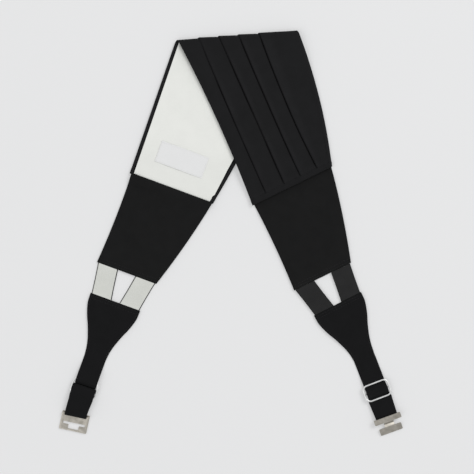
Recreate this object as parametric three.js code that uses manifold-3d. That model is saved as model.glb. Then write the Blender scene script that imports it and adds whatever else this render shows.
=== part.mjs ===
// A pleated cummerbund lying folded over once, seen from above with +Y away from the viewer.
// The right arm lies face up over the left arm, which lies face down with its lining up.
// Each arm runs from the fold to its clasp. Edge A is the arms' straight long edge, edge B the bowed one.
// Millimetres, +Z up, origin at the bottom centre of the whole.
import * as THREE from "three";
import { mergeVertices } from "three/addons/utils/BufferGeometryUtils.js";
import Module from "manifold-3d";

const wasm = await Module();
wasm.setup();

// Pleated front
const FOLD_LENGTH = 132.3;
const FOLD_TILT = 4.4;
const FOLD_DRIFT = 4.4;
const FOLD_GAP = 0.4;
const SEAM_WIDTH = 97.4;
const PLEAT_HIGH = 2.3;
const PLEAT_LOW = 1.2;
const PLEAT_ROLL = 2.2;
const PLEAT_ROLL_DROP = 0.3;
const PLEAT_STEP = 0.15;
const HEM_HEIGHT = 2.0;
const HEM_WIDTH = 5.5;
const HEM_STEP = 0.4;
const TURNED_EDGE = 3.8;
const TURNED_EDGE_RISE = 0.3;

// Lining and label
const LINING_THICKNESS = 1.0;
const LABEL_WIDTH = 55;
const LABEL_HEIGHT = 24;
const LABEL_THICKNESS = 1.0;
const LABEL_FROM_SEAM = 22;

// Side panels
const PANEL_LENGTH = 104.2;
const PANEL_END_WIDTH = 69.7;
const PANEL_THICKNESS = 2.4;
const PANEL_TONGUE = 1.0;
const PANEL_INSET_A = 1.9;
const PANEL_INSET_B = 0.5;
const PANEL_BOW_A = 1.4;
const PANEL_BOW_B = 1.7;
const LAP = 1.3;
const LAP_MARGIN = 1.5;
const RAMP = 10;
const RAMP_START = 1.0;
const TONGUE_DROP = 14;

// Elastic bands
const BAND_LENGTH = 34;
const BAND_WIDTH = 23.4;
const BAND_THICKNESS = 1.0;
const BACKING_WIDTH = 21.4;
const BACKING_THICKNESS = 1.0;
const BAND_PANEL_INSET = 1.3;
const BAND_TAB_INSET = 1.0;

// Tabs and straps
const TAB_LENGTH = 66;
const TAB_WIDTH = 58;
const TAB_THICKNESS = 2.4;
const STRAP_WIDTH = 24.2;
const STRAP_DOUBLED_WIDTH = 25.4;
const STRAP_THICKNESS = 1.1;
const STRAP_PAST_SLIDE = 1.5;
const STRAP_BEFORE_RAIL = 4.0;
const STRAP_LOOP_START = 1.0;

// Slides
const SLIDE_WIDTH = 30;
const SLIDE_BAR_SPACING = 8.8;
const SLIDE_CORNER = 5.0;
const WIRE_RADIUS = 0.8;
const WIRE_SIDES = 8;
const BAR_SIDES = 10;

// Clasp
const CLASP_WIDTH = 30.6;
const CLASP_THICKNESS = 1.2;
const CLASP_CORNER = 1.0;
const RAIL_RADIUS = 0.6;
const RAIL_SETBACK = 2.0;
const POST_LENGTH = 2.4;
const HOOK_BAR_LENGTH = 6.0;
const HOOK_NECK_WIDTH = 11.0;
const HOOK_NECK_LENGTH = 5.0;
const HOOK_HEAD_WIDTH = 25.3;
const HOOK_HEAD_LENGTH = 7.2;
const HOOK_JOG = 1.6;
const HOOK_DROOP = 9;
const EYE_LENGTH = 20.3;
const EYE_BAR_LENGTH = 10.3;
const EYE_SLOT_LENGTH = 3.0;
const EYE_STRIP_LENGTH = 2.2;
const EYE_PLAY = 0.8;
const JOINT_DEPTH = 0.2;
const NECK_OVERLAP = 1.0;

const CLEARANCE = 0.3;

// One row for each long edge and pleat line, from edge A to edge B: where it leaves the fold as a share
// of FOLD_LENGTH, where it meets the seam and how far it bows as shares of SEAM_WIDTH.
const PLEAT_LINES = [
  { fold: 0, seam: 0, bow: 0 },
  { fold: 0.18, seam: 0.2, bow: -0.01 },
  { fold: 0.347, seam: 0.432, bow: 0 },
  { fold: 0.51, seam: 0.637, bow: -0.012 },
  { fold: 0.68, seam: 0.846, bow: -0.03 },
  { fold: 1, seam: 1, bow: 0.052 },
];

// One row for each section of a tab: how far along TAB_LENGTH it lies, and how much of the
// difference between TAB_WIDTH and STRAP_WIDTH it still has.
const TAB_SECTIONS = [
  { along: 0, spread: 1 },
  { along: 0.06, spread: 1 },
  { along: 0.18, spread: 0.96 },
  { along: 0.36, spread: 0.74 },
  { along: 0.5, spread: 0.5 },
  { along: 0.62, spread: 0.32 },
  { along: 0.74, spread: 0.165 },
  { along: 0.86, spread: 0.06 },
  { along: 1, spread: 0 },
];

// The two arms: the length of edge A and its bearing from straight down, the seam's tilt, how far the tab
// lies off the panel's middle, how the strap turns at the tab, at the neck and towards the clasp, and
// where the slide and the clasp's rail sit on it.
const RIGHT_ARM = {
  name: "right",
  faceUp: true,
  edgeLength: 196.9,
  edgeBearing: 24.3,
  edgeBow: 0.031,
  seamTilt: 26.1,
  tabShift: 1.6,
  tabTurn: 0.8,
  neckTurn: -6.1,
  endTurn: -1.0,
  slideAt: 104.7,
  railAt: 137.6,
};
const LEFT_ARM = {
  name: "left",
  faceUp: false,
  edgeLength: 151.9,
  edgeBearing: -19.15,
  edgeBow: 0,
  seamTilt: -20.3,
  tabShift: -0.6,
  tabTurn: 0.2,
  neckTurn: 1.2,
  endTurn: 6.6,
  slideAt: 100.9,
  railAt: 131.9,
};

// Levels, measured from the floor to the back of the front's cloth
const LINING_STACK = CLEARANCE + LINING_THICKNESS;
const LOWER_LEVEL = PLEAT_HIGH;
const FOLD_RADIUS = LINING_STACK + FOLD_GAP / 2;
const UPPER_LEVEL = LOWER_LEVEL + 2 * FOLD_RADIUS;
const RESTING_LEVEL = LINING_STACK;
const TONGUE_RAISE = PANEL_TONGUE + CLEARANCE;
const EDGE_B = PLEAT_LINES[PLEAT_LINES.length - 1];
const DRAPE_MARGIN = 2.1;
const DRAPE_SHELF = EDGE_B.bow * SEAM_WIDTH + DRAPE_MARGIN;
const DRAPE_RUN = 40;

const radians = THREE.MathUtils.degToRad;
const lerp = THREE.MathUtils.lerp;
const smooth = (share) => THREE.MathUtils.smoothstep(share, 0, 1);

// The direction in plan that lies at a bearing from straight down, towards +X for a positive bearing.
const heading = (bearing) =>
  new THREE.Vector2(Math.sin(radians(bearing)), -Math.cos(radians(bearing)));

// The direction in plan at an angle above +X.
const tilted = (angle) =>
  new THREE.Vector2(Math.cos(radians(angle)), Math.sin(radians(angle)));

const foldDirection = tilted(FOLD_TILT);
const foldOutward = tilted(FOLD_TILT + 90);

// Where the fold's axis stands on a pleat line, for the arm above or below.
function foldPoint(line, arm) {
  const drift = (arm.faceUp ? 1 : -1) * (FOLD_DRIFT / 2);
  return foldDirection.clone().multiplyScalar(line.fold * FOLD_LENGTH + drift);
}

// The corner where an arm's edge A meets its seam.
function seamCorner(arm) {
  return heading(arm.edgeBearing)
    .multiplyScalar(arm.edgeLength)
    .add(foldPoint(PLEAT_LINES[0], arm));
}

function seamPoint(line, arm) {
  return tilted(arm.seamTilt)
    .multiplyScalar(line.seam * SEAM_WIDTH)
    .add(seamCorner(arm));
}

// A point on a pleat line, at a share of the way from the fold to the seam.
function linePoint(line, arm, share) {
  const from = foldPoint(line, arm);
  const to = seamPoint(line, arm);
  const edgeBow = line === PLEAT_LINES[0] ? arm.edgeBow : 0;
  const bow = 4 * share * (1 - share) * (line.bow + edgeBow) * SEAM_WIDTH;
  return from.lerp(to, share).addScaledVector(tilted(arm.seamTilt), bow);
}

// How far a point lies beyond the lower arm's edge B, towards edge B of the upper arm.
function beyondLowerArm(point) {
  const from = foldPoint(EDGE_B, LEFT_ARM);
  const along = seamPoint(EDGE_B, LEFT_ARM).sub(from).normalize();
  return point.clone().sub(from).cross(along) * -1;
}

// How far a point lies from an arm's seam, on the front's side of it.
function fromSeam(point, arm) {
  return point.clone().sub(seamCorner(arm)).dot(tilted(arm.seamTilt + 90));
}

// The level of the front's back in the upper arm: over the lower arm, then draped to the floor,
// and lifted again over the side panel's tongue.
function upperLevel(point) {
  const drape = smooth((beyondLowerArm(point) - DRAPE_SHELF) / DRAPE_RUN);
  const overTongue = smooth((LAP + LAP_MARGIN + RAMP - fromSeam(point, RIGHT_ARM)) / RAMP);
  return lerp(UPPER_LEVEL, RESTING_LEVEL + TONGUE_RAISE * overTongue, drape);
}

// The rows of the front and its lining, from the left seam round the fold to the right seam. A row lies at
// a share of its arm from the fold, at a distance from the seam, or at an angle round the fold.
const END_ROWS = [0, HEM_WIDTH - HEM_STEP / 2, HEM_WIDTH + HEM_STEP / 2];
const LEFT_SHARES = [0.75, 0.5, 0.25];
const FOLD_ANGLES = [-90, -60, -30, 0, 30, 60, 90];
const RIGHT_SHARES = [0.06, 0.13, 0.2, 0.28, 0.36, 0.44, 0.52, 0.6, 0.68, 0.76, 0.84];
const RAMP_SHARES = [1, 0.75, 0.55];
const CLOTH_ROWS = [
  ...END_ROWS.map((distance) => ({ arm: LEFT_ARM, distance })),
  ...LEFT_SHARES.map((share) => ({ arm: LEFT_ARM, share })),
  ...FOLD_ANGLES.map((angle) => ({ angle })),
  ...RIGHT_SHARES.map((share) => ({ arm: RIGHT_ARM, share })),
  ...RAMP_SHARES.map((share) => ({ arm: RIGHT_ARM, distance: LAP + share * RAMP })),
  ...END_ROWS.toReversed().map((distance) => ({ arm: RIGHT_ARM, distance })),
];

// A point of a pleat line in one of the cloth's rows.
function rowPoint(line, row) {
  if (row.arm === undefined) {
    const share = (row.angle + 90) / 180;
    return foldPoint(line, LEFT_ARM).lerp(foldPoint(line, RIGHT_ARM), share);
  }
  const length = foldPoint(line, row.arm).distanceTo(seamPoint(line, row.arm));
  const share = row.share ?? 1 - row.distance / length;
  return linePoint(line, row.arm, share);
}

// A point of the front's cloth: on a lane between two pleat lines, raised from the back of the cloth
// towards its face by a height, or towards the wearer where the height is negative.
function clothPoint(lane, row, height) {
  const from = rowPoint(PLEAT_LINES[lane.pleat], row);
  const to = rowPoint(PLEAT_LINES[lane.pleat + 1], row);
  const across = to.clone().sub(from).normalize();
  const plan = from.lerp(to, lane.share).addScaledVector(across, lane.offset);
  if (row.arm === RIGHT_ARM) return new THREE.Vector3(plan.x, plan.y, upperLevel(plan) + height);
  if (row.arm === LEFT_ARM) return new THREE.Vector3(plan.x, plan.y, LOWER_LEVEL - height);
  const radius = FOLD_RADIUS + height;
  plan.addScaledVector(foldOutward, radius * Math.cos(radians(row.angle)));
  const middle = LOWER_LEVEL + FOLD_RADIUS;
  return new THREE.Vector3(plan.x, plan.y, middle + radius * Math.sin(radians(row.angle)));
}

// The lanes of the front from edge A to edge B, each with the height of its face in the pleats.
// A pleat stands highest at its folded edge, on the line towards edge A, and falls to the next line.
const PLEAT_COUNT = PLEAT_LINES.length - 1;
const pleatHeight = (share) => lerp(PLEAT_HIGH, PLEAT_LOW, share);

function frontLanes() {
  const lanes = [];
  for (let pleat = 0; pleat < PLEAT_COUNT; pleat++) {
    const first = pleat === 0;
    const last = pleat === PLEAT_COUNT - 1;
    const lane = (share, offset, height, edge = false) =>
      lanes.push({ pleat, share, offset, height, edge });
    if (first) {
      lane(0, 0, PLEAT_LOW, true);
      lane(0, TURNED_EDGE, PLEAT_HIGH, true);
      lane(0, TURNED_EDGE + PLEAT_STEP, PLEAT_HIGH);
    } else {
      lane(0, PLEAT_STEP, PLEAT_HIGH - PLEAT_ROLL_DROP);
      lane(0, PLEAT_ROLL, PLEAT_HIGH);
    }
    lane(0.5, 0, pleatHeight(0.5));
    if (last) {
      lane(1, -TURNED_EDGE - PLEAT_STEP, PLEAT_LOW + TURNED_EDGE_RISE);
      lane(1, -TURNED_EDGE, PLEAT_LOW + TURNED_EDGE_RISE, true);
      lane(1, 0, PLEAT_LOW, true);
    } else {
      lane(0.85, 0, pleatHeight(0.85));
      lane(1, -PLEAT_STEP, PLEAT_LOW);
    }
  }
  return lanes;
}

// A closed sheet between two grids of points with the same rows and columns.
function sheetGeometry(outer, inner) {
  const rows = outer.length - 1;
  const columns = outer[0].length - 1;
  const count = outer.length * outer[0].length;
  const at = (side, row, column) => side * count + row * (columns + 1) + column;
  const index = [];
  const quad = (a, b, c, d) => index.push(a, b, c, a, c, d);
  for (let r = 0; r < rows; r++) {
    for (let c = 0; c < columns; c++) {
      quad(at(0, r, c), at(0, r, c + 1), at(0, r + 1, c + 1), at(0, r + 1, c));
      quad(at(1, r, c), at(1, r + 1, c), at(1, r + 1, c + 1), at(1, r, c + 1));
    }
    quad(at(0, r, 0), at(0, r + 1, 0), at(1, r + 1, 0), at(1, r, 0));
    quad(at(0, r + 1, columns), at(0, r, columns), at(1, r, columns), at(1, r + 1, columns));
  }
  for (let c = 0; c < columns; c++) {
    quad(at(0, 0, c), at(1, 0, c), at(1, 0, c + 1), at(0, 0, c + 1));
    quad(at(0, rows, c), at(0, rows, c + 1), at(1, rows, c + 1), at(1, rows, c));
  }
  const geometry = new THREE.BufferGeometry().setFromPoints([...outer.flat(), ...inner.flat()]);
  geometry.setIndex(signedVolume(geometry, index) < 0 ? index.toReversed() : index);
  return geometry;
}

// The volume that a list of triangles encloses, negative where they face inwards.
function signedVolume(geometry, index) {
  const position = geometry.getAttribute("position");
  const corner = (i) => new THREE.Vector3().fromBufferAttribute(position, index[i]);
  let volume = 0;
  for (let i = 0; i < index.length; i += 3) {
    volume += corner(i).dot(corner(i + 1).cross(corner(i + 2))) / 6;
  }
  return volume;
}

function pleatedFront() {
  const lanes = frontLanes();
  const inHem = (row) => row.distance !== undefined && row.distance < HEM_WIDTH;
  const face = CLOTH_ROWS.map((row) =>
    lanes.map((lane) => {
      const height = inHem(row) && !lane.edge ? HEM_HEIGHT : lane.height;
      return clothPoint(lane, row, height);
    }),
  );
  const back = CLOTH_ROWS.map((row) =>
    lanes.map((lane) => clothPoint(lane, row, lane.edge ? -LINING_STACK : 0)),
  );
  return sheetGeometry(face, back);
}

function lining() {
  const edge = TURNED_EDGE + PLEAT_STEP + CLEARANCE;
  const lanes = [{ pleat: 0, share: 0, offset: edge }];
  for (let pleat = 0; pleat < PLEAT_COUNT; pleat++) {
    lanes.push({ pleat, share: 0.5, offset: 0 });
    if (pleat < PLEAT_COUNT - 1) lanes.push({ pleat, share: 1, offset: 0 });
  }
  lanes.push({ pleat: PLEAT_COUNT - 1, share: 1, offset: -edge });
  const sheet = (height) => CLOTH_ROWS.map((row) => lanes.map((lane) => clothPoint(lane, row, height)));
  return sheetGeometry(sheet(-CLEARANCE), sheet(-LINING_STACK));
}

// The label lies flat on the lining of the left arm, midway across, in the arm's own frame.
function label() {
  const geometry = new THREE.BoxGeometry(LABEL_WIDTH, LABEL_HEIGHT, LABEL_THICKNESS);
  const level = LOWER_LEVEL + LINING_STACK + CLEARANCE + LABEL_THICKNESS / 2;
  return geometry.translate(SEAM_WIDTH / 2, LABEL_FROM_SEAM + LABEL_HEIGHT / 2, level);
}

// The rows of a side panel, from its tongue's edge to its end, by their distance below the seam.
const PANEL_ROWS = [
  -LAP,
  ...[0.1, 0.25, 0.45, 0.7, 1, 1.3, 1.7].map((share) => share * RAMP),
  ...[0.29, 0.435, 0.58, 0.725, 0.87, 1].map((share) => share * PANEL_LENGTH),
];
const PANEL_COLUMNS = [0, 0.25, 0.5, 0.75, 1];

// A side panel in its arm's frame, where x runs from edge A to edge B and y from the seam to the fold.
// Its tongue lies on the lining's side of the front, so it lies below the right arm and above the left.
function sidePanel(arm) {
  const overLining = LOWER_LEVEL + LINING_STACK + CLEARANCE;
  const point = (below, share, upper) => {
    const along = (below + LAP) / (PANEL_LENGTH + LAP);
    const bow = 4 * along * (1 - along);
    const edgeA = lerp(PANEL_INSET_A, 0, along) + PANEL_BOW_A * bow;
    const edgeB = lerp(SEAM_WIDTH - PANEL_INSET_B, PANEL_END_WIDTH, along) + PANEL_BOW_B * bow;
    const settle = smooth((below - RAMP_START) / TONGUE_DROP);
    const base = arm.faceUp ? 0 : overLining * (1 - settle);
    const thickness = lerp(PANEL_TONGUE, PANEL_THICKNESS, smooth((below - RAMP_START) / RAMP));
    return new THREE.Vector3(lerp(edgeA, edgeB, share), -below, base + (upper ? thickness : 0));
  };
  const sheet = (upper) =>
    PANEL_ROWS.map((below) => PANEL_COLUMNS.map((share) => point(below, share, upper)));
  return sheetGeometry(sheet(true), sheet(false));
}

// The strap's middle line in its arm's frame, in steps of 1 mm from the middle of the tab's top edge.
function strapSpine(arm) {
  const turn = (distance) =>
    arm.tabTurn +
    arm.neckTurn * smooth((distance - 0.7 * TAB_LENGTH) / (0.5 * TAB_LENGTH)) +
    arm.endTurn * smooth((distance - arm.slideAt) / (arm.railAt - arm.slideAt));
  const points = [new THREE.Vector2(PANEL_END_WIDTH / 2 + arm.tabShift, -PANEL_LENGTH - BAND_LENGTH)];
  const reach = Math.ceil(arm.railAt + RAIL_TO_STRAP) + 1;
  for (let step = 0; step < reach; step++) {
    points.push(points[step].clone().add(heading(turn(step + 0.5))));
  }
  return (distance) => {
    const step = THREE.MathUtils.clamp(Math.floor(distance), 0, reach - 1);
    const point = points[step].clone().lerp(points[step + 1], distance - step);
    const bearing = turn(distance);
    return { point, turn: bearing, along: heading(bearing), across: tilted(bearing) };
  };
}

// One elastic band or its backing, between the panel's end and the tab, on the side of edge A or B.
function band(arm, side, width, level, thickness) {
  const spine = strapSpine(arm)(0);
  const panelOffset = side * ((PANEL_END_WIDTH - BAND_WIDTH) / 2 - BAND_PANEL_INSET);
  const panelCentre = PANEL_END_WIDTH / 2 + panelOffset;
  const tabOffset = side * ((TAB_WIDTH - BAND_WIDTH) / 2 - BAND_TAB_INSET);
  const corner = (end, edge, upper) => {
    const z = level + (upper ? thickness : 0);
    if (end === 0) {
      return new THREE.Vector3(panelCentre + (edge * width) / 2, -PANEL_LENGTH - CLEARANCE, z);
    }
    const plan = spine.point
      .clone()
      .addScaledVector(spine.across, tabOffset + (edge * width) / 2)
      .addScaledVector(spine.along, -CLEARANCE);
    return new THREE.Vector3(plan.x, plan.y, z);
  };
  const sheet = (upper) => [0, 1].map((end) => [-1, 1].map((edge) => corner(end, edge, upper)));
  return sheetGeometry(sheet(true), sheet(false));
}

// Levels of the slide and the clasp's rail. The strap runs behind the slide's outer bars and over the loop
// on its middle bar, and the hump or the doubled strap, whichever lies below, rests on the floor.
const HALF_STRAP = STRAP_THICKNESS / 2;
const BAR_TO_STRAP = WIRE_RADIUS + CLEARANCE + HALF_STRAP;
const LAYER_STEP = STRAP_THICKNESS + CLEARANCE;
const SLIDE_LEVEL = BAR_TO_STRAP + LAYER_STEP + HALF_STRAP;
const RAIL_TO_STRAP = RAIL_RADIUS + CLEARANCE + HALF_STRAP;
const RAIL_TO_PLATE = RAIL_TO_STRAP + HALF_STRAP + CLEARANCE;
const railLevel = (arm) =>
  arm.faceUp ? RAIL_TO_STRAP + HALF_STRAP : RAIL_TO_PLATE + CLASP_THICKNESS;

// The strap's way seen from the side, as stations with a distance along the arm, a level, a width and a
// thickness: tab, slide, round the rail, and back to a loop on the slide's middle bar.
function strapStations(arm) {
  const face = arm.faceUp ? 1 : -1;
  const stations = [];
  const add = (distance, level, width, thickness = STRAP_THICKNESS) =>
    stations.push({ distance, level, width, thickness });

  for (const section of TAB_SECTIONS) {
    const thickness = lerp(TAB_THICKNESS, STRAP_THICKNESS, smooth((section.along - 0.5) / 0.5));
    const width = lerp(STRAP_WIDTH, TAB_WIDTH, section.spread);
    add(section.along * TAB_LENGTH, thickness / 2, width, thickness);
  }

  const humpReach = SLIDE_BAR_SPACING - STRAP_LOOP_START;
  const behindBars = SLIDE_LEVEL - face * BAR_TO_STRAP;
  const riseEnd = arm.slideAt - SLIDE_BAR_SPACING - STRAP_PAST_SLIDE;
  const riseStart = lerp(TAB_LENGTH, riseEnd, arm.faceUp ? 0.4 : 0.1);
  for (const share of [0, 0.25, 0.5, 0.75, 1]) {
    add(lerp(riseStart, riseEnd, share), lerp(HALF_STRAP, behindBars, smooth(share)), STRAP_WIDTH);
  }
  const humpRise = face * (BAR_TO_STRAP + LAYER_STEP + BAR_TO_STRAP);
  for (let step = -5; step <= 5; step++) {
    const bump = Math.cos((step / 5) * (Math.PI / 2)) ** 2;
    add(arm.slideAt + (step / 5) * humpReach, behindBars + humpRise * bump, STRAP_WIDTH);
  }

  const rail = railLevel(arm);
  const doubledFrom = arm.slideAt + SLIDE_BAR_SPACING + STRAP_PAST_SLIDE;
  const doubledTo = arm.railAt - STRAP_BEFORE_RAIL;
  const widenedAt = lerp(doubledFrom, doubledTo, 0.3);
  const layer = face * LAYER_STEP;
  add(doubledFrom, behindBars, STRAP_WIDTH);
  add(widenedAt, lerp(behindBars, rail + face * RAIL_TO_STRAP, 0.25), STRAP_DOUBLED_WIDTH);
  add(doubledTo, rail + face * RAIL_TO_STRAP, STRAP_DOUBLED_WIDTH);
  for (let angle = 90; angle >= -90; angle -= 30) {
    const distance = arm.railAt + RAIL_TO_STRAP * Math.cos(radians(angle));
    add(distance, rail + face * RAIL_TO_STRAP * Math.sin(radians(angle)), STRAP_DOUBLED_WIDTH);
  }
  add(doubledTo, rail - face * RAIL_TO_STRAP, STRAP_DOUBLED_WIDTH);
  add(widenedAt, lerp(behindBars - layer, rail - face * RAIL_TO_STRAP, 0.25), STRAP_DOUBLED_WIDTH);
  add(doubledFrom, behindBars - layer, STRAP_WIDTH);
  for (const share of [0, 0.33, 0.67]) {
    const distance = lerp(arm.slideAt + humpReach, arm.slideAt + STRAP_LOOP_START, share);
    add(distance, lerp(behindBars - layer, behindBars, smooth(share)), STRAP_WIDTH);
  }
  for (let angle = -90; angle >= -330; angle -= 30) {
    const distance = arm.slideAt + BAR_TO_STRAP * Math.cos(radians(angle));
    add(distance, SLIDE_LEVEL + face * BAR_TO_STRAP * Math.sin(radians(angle)), STRAP_WIDTH);
  }
  return stations;
}

function backStrap(arm) {
  const spine = strapSpine(arm);
  const stations = strapStations(arm);
  const row = (index, side) => {
    const station = stations[index];
    const before = stations[Math.max(index - 1, 0)];
    const after = stations[Math.min(index + 1, stations.length - 1)];
    const run = after.distance - before.distance;
    const rise = after.level - before.level;
    const scale = (side * station.thickness) / 2 / Math.hypot(run, rise);
    const { point, along, across } = spine(station.distance);
    return [-1, 1].map((edge) => {
      const plan = point
        .clone()
        .addScaledVector(across, (edge * station.width) / 2)
        .addScaledVector(along, -rise * scale);
      return new THREE.Vector3(plan.x, plan.y, station.level + run * scale);
    });
  };
  const sheet = (side) => stations.map((_, index) => row(index, side));
  return sheetGeometry(sheet(1), sheet(-1));
}

// A geometry as a solid that can be joined and cut.
function solidOf(geometry) {
  const bare = geometry.index ? geometry.clone() : geometry;
  bare.deleteAttribute("normal");
  bare.deleteAttribute("uv");
  const merged = mergeVertices(bare, 1e-4);
  return new wasm.Manifold(
    new wasm.Mesh({
      numProp: 3,
      vertProperties: merged.getAttribute("position").array,
      triVerts: new Uint32Array(merged.index.array),
    }),
  );
}

function joined(geometries) {
  const solid = geometries.map(solidOf).reduce((whole, next) => whole.add(next));
  const mesh = solid.getMesh();
  const geometry = new THREE.BufferGeometry();
  const position = new Float32Array(mesh.vertProperties);
  geometry.setAttribute("position", new THREE.BufferAttribute(position, 3));
  geometry.setIndex(new THREE.BufferAttribute(new Uint32Array(mesh.triVerts), 1));
  return geometry;
}

// A round bar along x.
function barAlongX(radius, length) {
  return new THREE.CylinderGeometry(radius, radius, length, BAR_SIDES).rotateZ(Math.PI / 2);
}

// A rectangle with rounded corners as a shape, centred on x, between two distances along y.
function roundedPlate(width, from, to, corner) {
  const half = width / 2;
  const shape = new THREE.Shape();
  shape.moveTo(-half + corner, from);
  shape.lineTo(half - corner, from);
  shape.absarc(half - corner, from + corner, corner, -Math.PI / 2, 0, false);
  shape.absarc(half - corner, to - corner, corner, 0, Math.PI / 2, false);
  shape.absarc(-half + corner, to - corner, corner, Math.PI / 2, Math.PI, false);
  shape.absarc(-half + corner, from + corner, corner, Math.PI, 1.5 * Math.PI, false);
  return shape;
}

function plate(shape, level) {
  const settings = { depth: CLASP_THICKNESS, bevelEnabled: false, curveSegments: 3 };
  return new THREE.ExtrudeGeometry(shape, settings).translate(0, 0, level);
}

// A wire slide in its own frame: the frame of two outer bars and two sides, and the middle bar.
function slide() {
  const halfWidth = SLIDE_WIDTH / 2 - WIRE_RADIUS;
  const corners = [
    { x: 1, y: 1, start: 0 },
    { x: -1, y: 1, start: 90 },
    { x: -1, y: -1, start: 180 },
    { x: 1, y: -1, start: 270 },
  ];
  const rings = corners.flatMap(({ x, y, start }) =>
    [0, 30, 60, 90].map((turn) => {
      const out = tilted(start + turn);
      const centre = new THREE.Vector2(
        x * (halfWidth - SLIDE_CORNER),
        y * (SLIDE_BAR_SPACING - SLIDE_CORNER),
      ).addScaledVector(out, SLIDE_CORNER);
      return Array.from({ length: WIRE_SIDES }, (_, i) => {
        const angle = (i / WIRE_SIDES) * 2 * Math.PI;
        const plan = centre.clone().addScaledVector(out, WIRE_RADIUS * Math.cos(angle));
        return new THREE.Vector3(plan.x, plan.y, WIRE_RADIUS * Math.sin(angle));
      });
    }),
  );
  const index = [];
  const at = (ring, side) => (ring % rings.length) * WIRE_SIDES + (side % WIRE_SIDES);
  for (let ring = 0; ring < rings.length; ring++) {
    for (let side = 0; side < WIRE_SIDES; side++) {
      index.push(at(ring, side), at(ring + 1, side), at(ring + 1, side + 1));
      index.push(at(ring, side), at(ring + 1, side + 1), at(ring, side + 1));
    }
  }
  const frame = new THREE.BufferGeometry().setFromPoints(rings.flat());
  frame.setIndex(signedVolume(frame, index) < 0 ? index.toReversed() : index);
  return joined([frame, barAlongX(WIRE_RADIUS, 2 * halfWidth)]);
}

// The rail that the strap loops round, and the two posts that join it to a clasp's plate. In a clasp's own
// frame the rail is the origin, y runs back along the strap, and the face is up.
function railAndPosts() {
  const postWidth = (CLASP_WIDTH - STRAP_DOUBLED_WIDTH) / 2 - 2 * CLEARANCE;
  const postHeight = RAIL_TO_PLATE + RAIL_RADIUS + JOINT_DEPTH;
  const posts = [-1, 1].map((side) =>
    new THREE.BoxGeometry(postWidth, POST_LENGTH, postHeight).translate(
      side * (CLASP_WIDTH / 2 - CLEARANCE / 2 - postWidth / 2),
      0,
      postHeight / 2 - RAIL_RADIUS,
    ),
  );
  return [barAlongX(RAIL_RADIUS, CLASP_WIDTH - postWidth), ...posts];
}

function hook() {
  const barEnd = RAIL_SETBACK - HOOK_BAR_LENGTH;
  const headStart = barEnd - HOOK_NECK_LENGTH;
  const bar = plate(roundedPlate(CLASP_WIDTH, barEnd, RAIL_SETBACK, CLASP_CORNER), RAIL_TO_PLATE);
  const head = plate(
    roundedPlate(HOOK_HEAD_WIDTH, headStart - HOOK_HEAD_LENGTH, headStart, CLASP_CORNER),
    RAIL_TO_PLATE - HOOK_JOG,
  );
  // The neck seen from the side, with x here along the strap: it steps down from the bar to the head
  const side = new THREE.Shape();
  side.moveTo(barEnd + NECK_OVERLAP, 0);
  side.lineTo(barEnd + NECK_OVERLAP, CLASP_THICKNESS);
  side.lineTo(barEnd - 0.15 * HOOK_NECK_LENGTH, CLASP_THICKNESS);
  side.lineTo(headStart + 0.3 * HOOK_NECK_LENGTH, CLASP_THICKNESS - HOOK_JOG);
  side.lineTo(headStart - NECK_OVERLAP, CLASP_THICKNESS - HOOK_JOG);
  side.lineTo(headStart - NECK_OVERLAP, -HOOK_JOG);
  side.lineTo(headStart + 0.5 * HOOK_NECK_LENGTH, -HOOK_JOG);
  side.lineTo(barEnd, 0);
  const neck = new THREE.ExtrudeGeometry(side, { depth: HOOK_NECK_WIDTH, bevelEnabled: false });
  neck.rotateX(Math.PI / 2).rotateZ(Math.PI / 2).translate(-HOOK_NECK_WIDTH / 2, 0, RAIL_TO_PLATE);
  return joined([bar, head, neck, ...railAndPosts()]).rotateX(radians(HOOK_DROOP));
}

function eye() {
  const end = RAIL_SETBACK - EYE_LENGTH;
  const slotTop = RAIL_SETBACK - EYE_BAR_LENGTH;
  const slotBottom = slotTop - EYE_SLOT_LENGTH;
  const notchBottom = end + EYE_STRIP_LENGTH;
  const slotHalf = (HOOK_HEAD_WIDTH - EYE_PLAY) / 2;
  const notchHalf = HOOK_NECK_WIDTH / 2 + EYE_PLAY / 2;
  const outline = roundedPlate(CLASP_WIDTH, end, RAIL_SETBACK, CLASP_CORNER);
  const opening = new THREE.Path();
  opening.moveTo(-slotHalf, slotTop);
  opening.lineTo(slotHalf, slotTop);
  opening.lineTo(slotHalf, slotBottom);
  opening.lineTo(notchHalf, slotBottom);
  opening.lineTo(notchHalf, notchBottom);
  opening.lineTo(-notchHalf, notchBottom);
  opening.lineTo(-notchHalf, slotBottom);
  opening.lineTo(-slotHalf, slotBottom);
  opening.closePath();
  outline.holes.push(opening);
  return joined([plate(outline, RAIL_TO_PLATE), ...railAndPosts()]);
}

const cloth = (color, roughness) => new THREE.MeshStandardMaterial({ color, roughness, metalness: 0 });
const COLOURS = {
  faille: "#1e1e1f",
  panel: "#1b1b1b",
  elastic: "#2c2c2d",
  backing: "#d1d2cc",
  strap: "#19191a",
  lining: "#e6e7e2",
  label: "#e4e4e4",
};

function named(name, geometry, material) {
  const mesh = new THREE.Mesh(geometry, material);
  mesh.name = name;
  return mesh;
}

// A slide or a clasp half on its arm's strap, face up or turned over.
function onStrap(arm, distance, level, mesh) {
  const { point, turn } = strapSpine(arm)(distance);
  mesh.position.set(point.x, point.y, level);
  mesh.rotation.set(0, arm.faceUp ? 0 : Math.PI, radians(turn), "ZYX");
  return mesh;
}

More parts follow.
